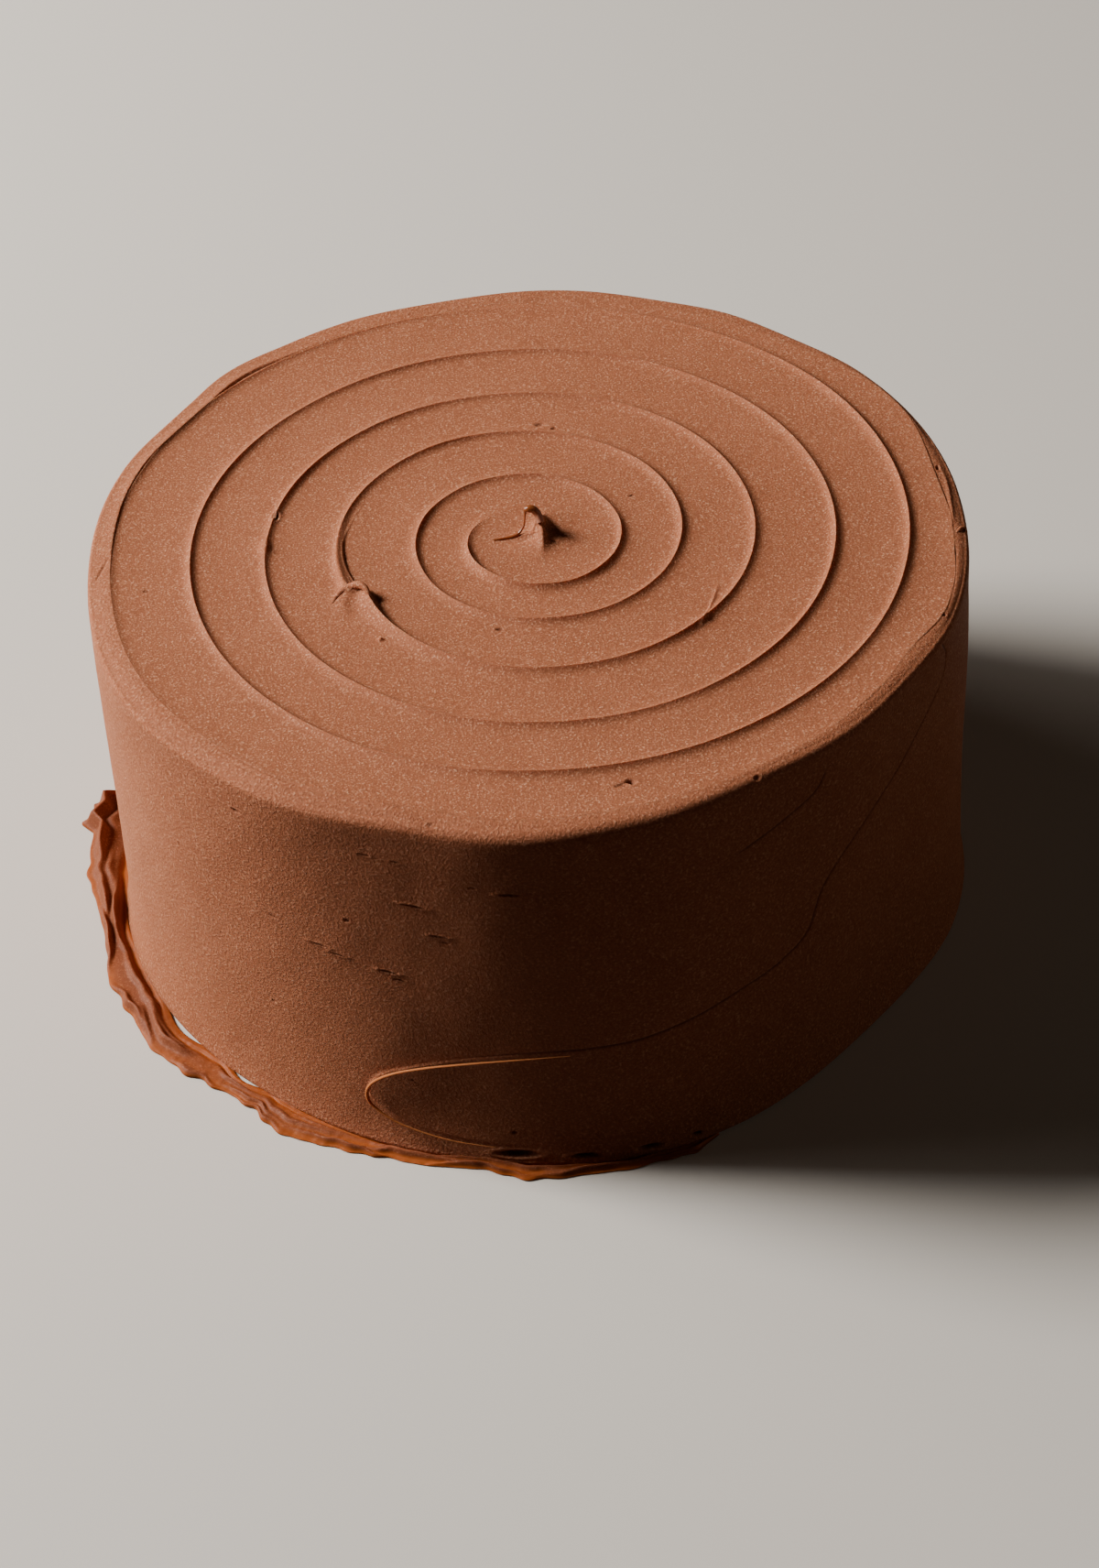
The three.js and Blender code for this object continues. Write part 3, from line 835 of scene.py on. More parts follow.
def grid_mesh(name: str, points: np.ndarray, closed: bool = False) -> bpy.types.Mesh:
    """Makes a mesh of quads from a grid of points.

    Args:
        name: The mesh's name.
        points: Columns of points in millimetres, with outsides to the left of a column's run.
        closed: Whether the last column joins the first.

    Returns:
        The mesh, smooth shaded.
    """
    columns, rows = points.shape[:2]
    index = np.arange(columns * rows).reshape(columns, rows)
    if closed:
        index = np.vstack([index, index[:1]])
    corners = np.stack([index[:-1, :-1], index[:-1, 1:], index[1:, 1:], index[1:, :-1]], -1).reshape(-1, 4)
    mesh = bpy.data.meshes.new(name)
    mesh.from_pydata((points.reshape(-1, 3) * MM).tolist(), [], corners.tolist())
    mesh.polygons.foreach_set("use_smooth", [True] * len(mesh.polygons))
    mesh.update()
    return mesh


def add_piece(name: str, mesh: bpy.types.Mesh, material: bpy.types.Material) -> bpy.types.Object:
    """Makes an object of a mesh, dressed in one material.

    Args:
        name: The piece's name.
        mesh: Its mesh, already in place.
        material: Its material.

    Returns:
        The object.
    """
    piece = bpy.data.objects.new(name, mesh)
    bpy.context.scene.collection.objects.link(piece)
    mesh.materials.clear()
    mesh.materials.append(material)
    return piece


def declare(piece: bpy.types.Object) -> None:
    """Tells the frame that a piece stands for the cake's solid, by attaching it to the body and hiding the plain solid,
    and logs its size.
    """
    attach(piece, BODY)
    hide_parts(NODE)
    triangles = sum(len(polygon.vertices) - 2 for polygon in piece.data.polygons)
    LOG.info("%s: %d vertices, %d triangles", piece.name, len(piece.data.vertices), triangles)


@dataclass(frozen=True)
class SandyGrain:
    """Sizes of the buttercream's fine grain, used by every frosting material."""

    grain_size: float = 0.48
    mottle_size: float = 9.0

    def group(self) -> bpy.types.NodeTree:
        """Builds the shader node group once.

        Returns:
            A group that gives a grain height, a speck mask and a slow mottling.
        """
        name = "Sandy grain"
        if name in bpy.data.node_groups:
            return bpy.data.node_groups[name]
        tree = bpy.data.node_groups.new(name, "ShaderNodeTree")
        interface = tree.interface
        interface.new_socket("Vector", in_out="INPUT", socket_type="NodeSocketVector")
        interface.new_socket("Grain Scale", in_out="INPUT", socket_type="NodeSocketFloat")
        interface.new_socket("Mottle Scale", in_out="INPUT", socket_type="NodeSocketFloat")
        for output in ("Height", "Specks", "Mottle"):
            interface.new_socket(output, in_out="OUTPUT", socket_type="NodeSocketFloat")
        entry = tree.nodes.new("NodeGroupInput")
        leave = tree.nodes.new("NodeGroupOutput")

        def noise(scale: str, detail: float, roughness: float) -> bpy.types.NodeSocket:
            """Adds a noise that follows one of the group's scales."""
            node = tree.nodes.new("ShaderNodeTexNoise")
            tree.links.new(entry.outputs["Vector"], node.inputs["Vector"])
            tree.links.new(entry.outputs[scale], node.inputs["Scale"])
            node.inputs["Detail"].default_value = detail
            node.inputs["Roughness"].default_value = roughness
            return node.outputs["Fac"]

        grain = noise("Grain Scale", 3.0, 0.65)
        tree.links.new(grain, leave.inputs["Height"])
        specks = tree.nodes.new("ShaderNodeMapRange")
        specks.inputs["From Min"].default_value = 0.57
        specks.inputs["From Max"].default_value = 0.67
        tree.links.new(grain, specks.inputs["Value"])
        tree.links.new(specks.outputs["Result"], leave.inputs["Specks"])
        tree.links.new(noise("Mottle Scale", 2.0, 0.5), leave.inputs["Mottle"])
        return tree


@dataclass(frozen=True)
class FrostingFinish:
    """Chocolate buttercream: matte and sandy where it is spread, glossy where it is torn or smeared, and darkened
    towards its torn colour as painted shade in holes, grooves and cracks.
    """

    name: str
    # The default torn colour, near black, is the painted shade of holes, grooves and cracks in the buttercream and
    # scraped finishes.
    torn_and_shade_color: tuple[float, float, float] = (0.07, 0.018, 0.007)
    torn_roughness: float = 0.45
    dark: tuple[float, float, float] = (0.230, 0.074, 0.033)
    light: tuple[float, float, float] = (0.400, 0.146, 0.074)
    speck: tuple[float, float, float] = (0.78, 0.43, 0.27)
    speck_share: float = 0.6
    roughness: float = 0.68
    specular: float = 0.09
    subsurface: float = 0.2
    bump: float = 0.9
    bump_depth: float = 0.45
    grain: SandyGrain = field(default_factory=SandyGrain)

    def material(self) -> bpy.types.Material:
        """Builds the material.

        Returns:
            The material, patterned on Object coordinates.
        """
        material = bpy.data.materials.new(self.name)
        material.use_nodes = True
        nodes = material.node_tree.nodes
        links = material.node_tree.links
        shader = nodes["Principled BSDF"]
        shader.inputs["Roughness"].default_value = self.roughness
        shader.inputs["Specular IOR Level"].default_value = self.specular
        shader.inputs["Subsurface Weight"].default_value = self.subsurface
        shader.inputs["Subsurface Radius"].default_value = (1.0, 0.4, 0.2)
        shader.inputs["Subsurface Scale"].default_value = 0.0025
        place = nodes.new("ShaderNodeTexCoord")
        grain = nodes.new("ShaderNodeGroup")
        grain.node_tree = self.grain.group()
        grain.inputs["Grain Scale"].default_value = 1 / (self.grain.grain_size * MM)
        grain.inputs["Mottle Scale"].default_value = 1 / (self.grain.mottle_size * MM)
        links.new(place.outputs["Object"], grain.inputs["Vector"])
        base = nodes.new("ShaderNodeMix")
        base.data_type = "RGBA"
        base.inputs["A"].default_value = (*self.dark, 1.0)
        base.inputs["B"].default_value = (*self.light, 1.0)
        shade = nodes.new("ShaderNodeMapRange")
        shade.inputs["From Min"].default_value = 0.36
        shade.inputs["From Max"].default_value = 0.62
        links.new(grain.outputs["Height"], shade.inputs["Value"])
        blend = nodes.new("ShaderNodeMix")
        blend.inputs["Factor"].default_value = 0.3
        links.new(shade.outputs["Result"], blend.inputs["A"])
        links.new(grain.outputs["Mottle"], blend.inputs["B"])
        links.new(blend.outputs["Result"], base.inputs["Factor"])
        share = nodes.new("ShaderNodeMath")
        share.operation = "MULTIPLY"
        share.inputs[1].default_value = self.speck_share
        links.new(grain.outputs["Specks"], share.inputs[0])
        specks = nodes.new("ShaderNodeMix")
        specks.data_type = "RGBA"
        specks.inputs["B"].default_value = (*self.speck, 1.0)
        links.new(base.outputs["Result"], specks.inputs["A"])
        links.new(share.outputs[0], specks.inputs["Factor"])
        # Mixes in the torn colour by the stored number. On marks this is painted shade in holes, grooves and cracks; on
        # strands and the smear it is wet or thin frosting.
        torn_and_shade = nodes.new("ShaderNodeAttribute")
        torn_and_shade.attribute_name = "torn_and_shade"
        color = nodes.new("ShaderNodeMix")
        color.data_type = "RGBA"
        color.inputs["B"].default_value = (*self.torn_and_shade_color, 1.0)
        links.new(specks.outputs["Result"], color.inputs["A"])
        links.new(torn_and_shade.outputs["Fac"], color.inputs["Factor"])
        links.new(color.outputs["Result"], shader.inputs["Base Color"])
        gloss = nodes.new("ShaderNodeMapRange")
        gloss.inputs["To Min"].default_value = self.roughness
        gloss.inputs["To Max"].default_value = self.torn_roughness
        links.new(torn_and_shade.outputs["Fac"], gloss.inputs["Value"])
        links.new(gloss.outputs["Result"], shader.inputs["Roughness"])
        bump = nodes.new("ShaderNodeBump")
        bump.inputs["Strength"].default_value = self.bump
        bump.inputs["Distance"].default_value = self.grain.grain_size * MM * self.bump_depth
        links.new(grain.outputs["Height"], bump.inputs["Height"])
        links.new(bump.outputs["Normal"], shader.inputs["Normal"])
        return material


@dataclass
class TopSurface:
    """The flat top with its spiral of ridges, skinned between neighbouring turns of the crest."""

    path: SpiralPath = field(default_factory=SpiralPath)
    stations_per_turn: int = 360
    across: int = 28
    crest_bias: float = 0.86
    channel_sag: float = 0.28
    waviness: float = 0.16
    waviness_size: float = 26.0
    inner_power: float = 2.8
    outer_power: float = 3.0
    marks: tuple[Pit | Line | Mound, ...] = TOP_MARKS

    def tree(self) -> NodeTree:
        """Builds the Geometry Nodes tree that skins the spiral.

        Returns:
            A tree that turns the crest's line into the top's surface.
        """
        tree = NodeTree("Spatula spiral")
        line = tree.entry.outputs["Geometry"]
        per_turn = tree.input("Stations Per Turn", "Int", 432)
        stations = tree.input("Stations", "Int", 3000)
        across = tree.input("Points Across", "Int", 28)
        bias = tree.input("Crest Bias", "Float", 0.86)
        top = tree.input("Top Height", "Float", 0.105)
        sag = tree.input("Channel Sag", "Float", 0.0003)
        inner_power = tree.input("Inner Slope Power", "Float", 1.3)
        outer_power = tree.input("Outer Slope Power", "Float", 1.9)
        wave = tree.input("Waviness", "Float", 0.0001)
        wave_size = tree.input("Waviness Size", "Float", 0.026)
        seed = tree.input("Seed", "Float", 3.0)
        material = tree.input("Material", "Material")
        grid = tree.add("GeometryNodeMeshGrid", {"Vertices X": stations, "Vertices Y": across})
        index = tree.add("GeometryNodeInputIndex", {}).outputs[0]
        station = tree.math("FLOOR", tree.math("DIVIDE", index, across))
        place = tree.math("MODULO", index, across)
        share = tree.math("DIVIDE", place, tree.math("SUBTRACT", across, 1.0))
        swing = tree.math("SINE", tree.math("MULTIPLY", share, 2 * math.pi))
        pull = tree.math("DIVIDE", tree.math("MULTIPLY", swing, bias), 2 * math.pi)
        share = tree.math("SUBTRACT", share, pull)
        beyond = tree.math("ADD", station, per_turn)
        position = tree.add("GeometryNodeInputPosition", {}).outputs[0]
        inner = tree.sample(line, position, station, "FLOAT_VECTOR")
        outer = tree.sample(line, position, beyond, "FLOAT_VECTOR")
        gap = tree.vector("DISTANCE", inner, outer, output="Value")
        room = tree.math("MULTIPLY", gap, 0.9)
        from_inner = tree.math("MULTIPLY", gap, share)
        from_outer = tree.math("SUBTRACT", gap, from_inner)

        def slope(crest_at: object, width_name: str, away: object, power: object) -> bpy.types.NodeSocket:
            """Adds the slope that falls from a crest over its width."""
            crest = tree.sample(line, tree.attribute("crest"), crest_at)
            width = tree.math("MINIMUM", tree.sample(line, tree.attribute(width_name), crest_at), room)
            width = tree.math("MAXIMUM", width, 1e-6)
            left = tree.math("SUBTRACT", 1.0, tree.math("DIVIDE", away, width))
            return tree.math("MULTIPLY", crest, tree.math("POWER", tree.math("MAXIMUM", left, 0.0), power))

        ridge = tree.math("ADD", slope(station, "outer_width", from_inner, outer_power),
                          slope(beyond, "inner_width", from_outer, inner_power))
        hollow = tree.math("SINE", tree.math("MULTIPLY", share, math.pi))
        depth = tree.math("MINIMUM", sag, tree.math("MULTIPLY", gap, 0.02))
        flat = tree.vector("ADD", inner, tree.scaled(tree.vector("SUBTRACT", outer, inner), share))
        noise = tree.add("ShaderNodeTexNoise", {"Vector": flat, "W": seed, "Detail": 1.0,
                                                "Scale": tree.math("DIVIDE", 1.0, wave_size)},
                         noise_dimensions="4D")
        sway = tree.math("MULTIPLY", tree.math("SUBTRACT", noise.outputs[0], 0.5), wave)
        height = tree.math("ADD", top, ridge)
        height = tree.math("SUBTRACT", height, tree.math("MULTIPLY", hollow, depth))
        height = tree.math("ADD", height, sway)
        lift = tree.add("ShaderNodeCombineXYZ", {"Z": height})
        spot = tree.vector("ADD", flat, lift.outputs[0])
        moved = tree.add("GeometryNodeSetPosition", {"Geometry": grid.outputs["Mesh"], "Position": spot})
        welded = tree.add("GeometryNodeMergeByDistance", {"Geometry": moved.outputs[0], "Distance": 1.5e-5})
        upward = tree.add("GeometryNodeFlipFaces", {"Mesh": welded.outputs[0]})
        tree.finish(upward.outputs[0], material)
        return tree

    def crest_line(self) -> bpy.types.Mesh:
        """Makes the crest's line from the centre to a full turn past the spiral's end.

        Returns:
            A mesh of points in order, with the ridge's sizes stored on them.
        """
        count = int(round((self.path.turns + 3.0) * self.stations_per_turn)) + 1
        turns = -2.0 + np.arange(count) / self.stations_per_turn
        angle = np.radians(self.path.azimuth(turns))
        radius = self.path.radius(turns)
        inner, outer = self.path.widths(turns)
        points = np.stack([radius * np.cos(angle), radius * np.sin(angle), np.zeros(count)], 1)
        mesh = bpy.data.meshes.new("crest_line")
        mesh.from_pydata((points * MM).tolist(), [], [])
        values = {"crest": self.path.crest(turns), "inner_width": inner, "outer_width": outer}
        for name, numbers in values.items():
            attribute = mesh.attributes.new(name, "FLOAT", "POINT")
            attribute.data.foreach_set("value", (numbers * MM).astype(np.float32))
        return mesh

    def build(self, material: bpy.types.Material) -> bpy.types.Object:
        """Makes the top.

        Args:
            material: The frosting's material.

        Returns:
            The piece.
        """
        form = self.path.band.form
        stations = int(round((self.path.turns + 2.0) * self.stations_per_turn)) + 1
        piece = self.tree().run("cake_top", self.crest_line(), {
            "Stations Per Turn": self.stations_per_turn, "Stations": stations, "Points Across": self.across,
            "Crest Bias": self.crest_bias, "Top Height": form.height * MM, "Channel Sag": self.channel_sag * MM,
            "Inner Slope Power": self.inner_power, "Outer Slope Power": self.outer_power,
            "Waviness": self.waviness * MM, "Waviness Size": self.waviness_size * MM, "Seed": 3.0,
            "Material": material,
        })
        Marks(self.marks, form.height).carve(piece.data)
        return piece


@dataclass
class SideWall:
    """The rim's scraped band and the side down to the foot, with the marks that the spatula left."""

    band: RimBand = field(default_factory=RimBand)
    seam_front: float = 172.0
    seam_back: float = 400.0
    front_columns: int = 440
    back_columns: int = 150
    wall_rows: int = 136
    belly: float = 0.35
    flare: float = 2.2
    flare_height: float = 10.0
    sway: Ripple = field(default_factory=lambda: Ripple(11, 46.0))
    waver: Ripple = field(default_factory=lambda: Ripple(12, 13.0))
    sway_height: float = 0.22
    waver_height: float = 0.05

    def profile(self, azimuth: np.ndarray) -> np.ndarray:
        """Lays out the rows of one upright cut for each azimuth.

        Args:
            azimuth: The columns' azimuths in degrees.

        Returns:
            For each column the rows' radius and height, from the band's inner edge to under the foot.
        """
        form = self.band.form
        rim = form.rim_at(azimuth)
        foot = form.foot_at(azimuth)
        inner = self.band.inner_radius(azimuth)
        step = total(self.band.step, azimuth)
        slope_drop = self.band.drop + step + total(self.band.lower, azimuth)
        crown = total(self.band.crown, azimuth)
        round_width = self.band.round_width + self.band.rounder.height(azimuth)
        round_drop = self.band.round_drop + 0.9 * self.band.rounder.height(azimuth)
        top = form.height
        rows = [(inner - 0.8, top - 0.6 + 0 * inner), (inner, top + crown),
                (inner + 0.15, top + crown - 0.2 * step), (inner + 0.35, top + crown - step)]
        shoulder = np.maximum(rim - round_width, inner + 0.7)
        for share in (0.15, 0.3, 0.45, 0.6, 0.75, 0.88):
            rows.append((inner + 0.35 + share * (shoulder - inner - 0.35),
                         top + crown * (1 - share) ** 2 - step - share ** self.band.ease * (slope_drop - step)))
        for share in np.linspace(0.0, 1.0, 9):
            angle = share * math.pi / 2
            rows.append((shoulder + (rim - shoulder) * math.sin(angle),
                         top - slope_drop - round_drop * (1 - math.cos(angle))))
        wall_top = top - slope_drop - round_drop
        for share in np.linspace(0.0, 1.0, self.wall_rows)[1:]:
            height = wall_top + (form.foot_round - wall_top) * share
            radius = rim + (foot - rim) * (top - height) / top + self.belly * math.sin(math.pi * share)
            radius = radius + self.flare * share * (np.exp(-height / self.flare_height) - 1)
            rows.append((radius, height))
        for share in (0.25, 0.5, 0.75, 1.0):
            angle = share * math.pi / 2
            rows.append((foot - form.foot_round * (1 - math.cos(angle)),
                         form.foot_round * (1 - math.sin(angle)) + 0 * foot))
        return np.stack([np.stack(pair, -1) for pair in rows], 1)

    def surface(self, azimuth: np.ndarray) -> np.ndarray:
        """Places the grid of the wall with its unevenness.

        Args:
            azimuth: The columns' azimuths in degrees.

        Returns:
            Points in millimetres, columns by rows.
        """
        cut = self.profile(azimuth)
        angle = np.radians(azimuth)[:, None]
        radius, height = cut[..., 0], cut[..., 1]
        unit = np.stack([np.cos(angle) + 0 * radius, np.sin(angle) + 0 * radius, 0 * radius], -1)
        points = unit * radius[..., None]
        points[..., 2] = height
        flat = points.reshape(-1, 3)
        hold = smoothstep(self.band.form.height - flat[:, 2], 2.0, 12.0) * smoothstep(flat[:, 2], 0.0, 6.0)
        push = hold * (self.sway_height * self.sway.at(flat) + self.waver_height * self.waver.at(flat))
        return points + unit * push.reshape(radius.shape)[..., None]

    def build(self, material: bpy.types.Material) -> list[bpy.types.Object]:
        """Makes the front and the back of the wall.

        Args:
            material: The frosting's material.

        Returns:
            The two pieces.
        """
        front = np.linspace(self.seam_front, self.seam_back, self.front_columns + 1)
        back = np.linspace(self.seam_back, self.seam_front + 360.0, self.back_columns + 1)
        spans = {"cake_side_front": front, "cake_side_back": back}
        pieces = []
        for name, azimuth in spans.items():
            mesh = grid_mesh(name, self.surface(azimuth))
            Marks(BAND_MARKS + SIDE_MARKS, self.band.form.height).carve(mesh)
            pieces.append(add_piece(name, mesh, material))
        return pieces


@dataclass
class FootSeal:
    """The flat underside, closed to the foot's outline."""

    form: CakeForm = field(default_factory=CakeForm)
    columns: int = 360
    rings: tuple[float, ...] = (1.0, 0.75, 0.5, 0.25, 0.0)

    def build(self, material: bpy.types.Material) -> bpy.types.Object:
        """Makes the underside.

        Args:
            material: The frosting's material.

        Returns:
            The piece.
        """
        azimuth = np.arange(self.columns) * 360.0 / self.columns
        edge = self.form.foot_at(azimuth) - self.form.foot_round
        angle = np.radians(azimuth)
        rows = [np.stack([edge * ring * np.cos(angle), edge * ring * np.sin(angle), 0 * edge], -1)
                for ring in self.rings]
        mesh = grid_mesh("cake_underside", np.stack(rows, 1), closed=True)
        return add_piece("cake_underside", mesh, material)


@dataclass(frozen=True)
class Strand:
    """A strand of frosting drawn along a path.

    Each point gives x and y, the height above the top, the radius there and how wet it looks, from 0 to 1; on the
    paused fold the same number darkens the lip's end as painted shade.
    """

    points: tuple[tuple[float, float, float, float, float], ...]
    samples: int = 60


@dataclass
class SweptFrosting:
    """Strands of frosting with a changing radius, made by one Geometry Nodes tree."""

    top: float
    sides: int = 28
    unevenness: float = 0.05
    unevenness_size: float = 1.6
    seed: float = 5.0

    def tree(self) -> NodeTree:
        """Builds the tree that skins lines of points with a round, slightly uneven section.

        Returns:
            The tree.
        """
        tree = NodeTree("Drawn frosting")
        sides = tree.input("Sides", "Int", 24)
        uneven = tree.input("Unevenness", "Float", 0.00005)
        size = tree.input("Unevenness Size", "Float", 0.0016)
        seed = tree.input("Seed", "Float", 5.0)
        material = tree.input("Material", "Material")
        curve = tree.add("GeometryNodeMeshToCurve", {"Mesh": tree.entry.outputs["Geometry"]}).outputs[0]
        section = tree.add("GeometryNodeCurvePrimitiveCircle", {"Resolution": sides, "Radius": 1.0}).outputs[0]
        skin = tree.add("GeometryNodeCurveToMesh", {"Curve": curve, "Profile Curve": section, "Fill Caps": True,
                                                    "Scale": tree.attribute("radius")}).outputs[0]
        place = tree.add("GeometryNodeInputPosition", {}).outputs[0]
        noise = tree.add("ShaderNodeTexNoise", {"Vector": place, "W": seed, "Detail": 2.0,
                                                "Scale": tree.math("DIVIDE", 1.0, size)}, noise_dimensions="4D")
        push = tree.math("MULTIPLY", tree.math("SUBTRACT", noise.outputs[0], 0.5), uneven)
        normal = tree.add("GeometryNodeInputNormal", {}).outputs[0]
        moved = tree.add("GeometryNodeSetPosition", {"Geometry": skin, "Offset": tree.scaled(normal, push)})
        tree.finish(moved.outputs[0], material)
        return tree

    def build(self, name: str, strands: tuple[Strand, ...], material: bpy.types.Material) -> bpy.types.Object:
        """Makes one piece of several strands.

        Args:
            name: The piece's name.
            strands: The strands.
            material: The material.

        Returns:
            The piece, with how wet it looks, and on the paused fold its painted shade, stored on its points.
        """
        rows = [smooth_path(list(strand.points), strand.samples) for strand in strands]
        points = np.concatenate(rows)
        edges = []
        first = 0
        for row in rows:
            edges += [(first + k, first + k + 1) for k in range(len(row) - 1)]
            first += len(row)
        line = bpy.data.meshes.new(name)
        place = points[:, :3] + np.array([0.0, 0.0, self.top])
        line.from_pydata((place * MM).tolist(), edges, [])
        store(line, "radius", np.maximum(points[:, 3], 0.05) * MM)
        store(line, "torn_and_shade", np.clip(points[:, 4], 0.0, 1.0))
        return self.tree().run(name, line, {
            "Sides": self.sides, "Unevenness": 2 * self.unevenness * MM, "Unevenness Size": self.unevenness_size * MM,
            "Seed": self.seed, "Material": material,
        })


@dataclass
class CentrePeak:
    """The little hooked peak where the spatula was lifted, and the thread that fell from its tip."""

    form: CakeForm = field(default_factory=CakeForm)
    strands: tuple[Strand, ...] = (
        Strand((
            (4.2, -0.6, 4.2, 0.95, 0.0), (3.95, 0.1, 5.1, 0.98, 0.05), (3.6, 0.6, 5.9, 0.98, 0.25),
            (3.1, 0.85, 6.6, 0.98, 0.5), (2.5, 1.0, 7.1, 0.98, 0.85), (1.8, 1.05, 7.25, 0.95, 1.0),
            (1.15, 1.1, 7.1, 0.84, 1.0), (0.8, 1.1, 6.7, 0.6, 1.0), (0.66, 1.08, 6.1, 0.3, 1.0)), samples=110),
        Strand((
            (0.74, 1.08, 6.4, 0.42, 1.0), (0.56, 0.95, 5.5, 0.26, 1.0), (0.42, 0.7, 4.35, 0.23, 1.0),
            (0.2, 0.35, 3.1, 0.24, 1.0), (-0.4, 0.0, 1.95, 0.28, 1.0), (-1.2, -0.35, 1.1, 0.34, 1.0),
            (-2.3, -0.6, 0.6, 0.38, 1.0), (-3.4, -0.74, 0.35, 0.34, 1.0), (-4.8, -0.82, 0.2, 0.28, 1.0),
            (-6.2, -0.88, 0.06, 0.22, 1.0), (-7.4, -0.92, -0.05, 0.14, 1.0)), samples=110),
    )

    def build(self, material: bpy.types.Material) -> bpy.types.Object:
        """Makes the hook and its thread as one piece."""
        return SweptFrosting(self.form.height).build("centre_peak", self.strands, material)


def on_top(azimuth: float, radius: float, height: float, thickness: float, wet: float = 0.0) -> tuple[float, ...]:
    """Gives a strand's point from its azimuth in degrees, its distance out and its height above the top."""
    angle = math.radians(azimuth)
    return (radius * math.cos(angle), radius * math.sin(angle), height, thickness, wet)


@dataclass
class PausedFold:
    """The fold of frosting that the spatula pushed up where it paused on the ridge, and the curl at the rim."""

    form: CakeForm = field(default_factory=CakeForm)
    # The last number darkens the lip's outer, lower end towards the near-black torn colour: painted shade under its
    # overhang. The curl at the rim is darker and glossier at its bend.
    strands: tuple[Strand, ...] = (
        Strand((on_top(211.0, 43.3, 1.7, 0.3), on_top(207.6, 43.2, 2.7, 0.75), on_top(204.8, 44.0, 2.5, 0.95),
                on_top(203.2, 45.3, 1.55, 0.95), on_top(202.7, 46.7, 0.95, 0.95),
                on_top(203.0, 48.2, 0.35, 0.85, 0.1), on_top(203.8, 49.6, -0.05, 0.7, 0.2),
                on_top(204.8, 50.9, -0.35, 0.5, 0.2), on_top(205.6, 51.8, -0.6, 0.2)), samples=80),
        Strand((on_top(354.8, 103.2, -0.7, 0.3), on_top(355.6, 104.4, -0.45, 0.45), on_top(356.5, 105.6, -0.45, 0.5),
                on_top(356.5, 106.5, -1.0, 0.45, 0.3), on_top(355.6, 106.9, -1.9, 0.25)), samples=40),
    )

    def build(self, material: bpy.types.Material) -> bpy.types.Object:
        """Makes the folds as one piece."""
        return SweptFrosting(self.form.height, unevenness=0.12, seed=9.0).build(
            "paused_fold", self.strands, material)


@dataclass
class SideBurr:
    """The thin lip that curls from the edge of the last coat, low on the front left of the side."""

    form: CakeForm = field(default_factory=CakeForm)
    proud: float = 0.5
    route: tuple[tuple[float, float, float], ...] = (
        (272.0, 67.4, 0.08), (266.0, 68.5, 0.18), (260.0, 71.0, 0.26), (254.0, 74.6, 0.32), (249.5, 78.6, 0.36),
        (246.6, 83.2, 0.42), (245.6, 87.6, 0.46), (246.4, 91.4, 0.34), (250.0, 95.2, 0.22), (256.0, 97.8, 0.14),
        (262.0, 98.7, 0.08))

    def build(self, material: bpy.types.Material) -> bpy.types.Object:
        """Makes the lip."""
        points = []
        for azimuth, depth, thickness in self.route:
            foot, rim = self.form.foot_at(azimuth), self.form.rim_at(azimuth)
            radius = float(rim + (foot - rim) * depth / self.form.height) + self.proud
            points.append(on_top(azimuth, radius, -depth, thickness, 0.8))
        strand = Strand(tuple(points), samples=160)
        return SweptFrosting(self.form.height, sides=12, seed=14.0).build("side_burr", (strand,), material)


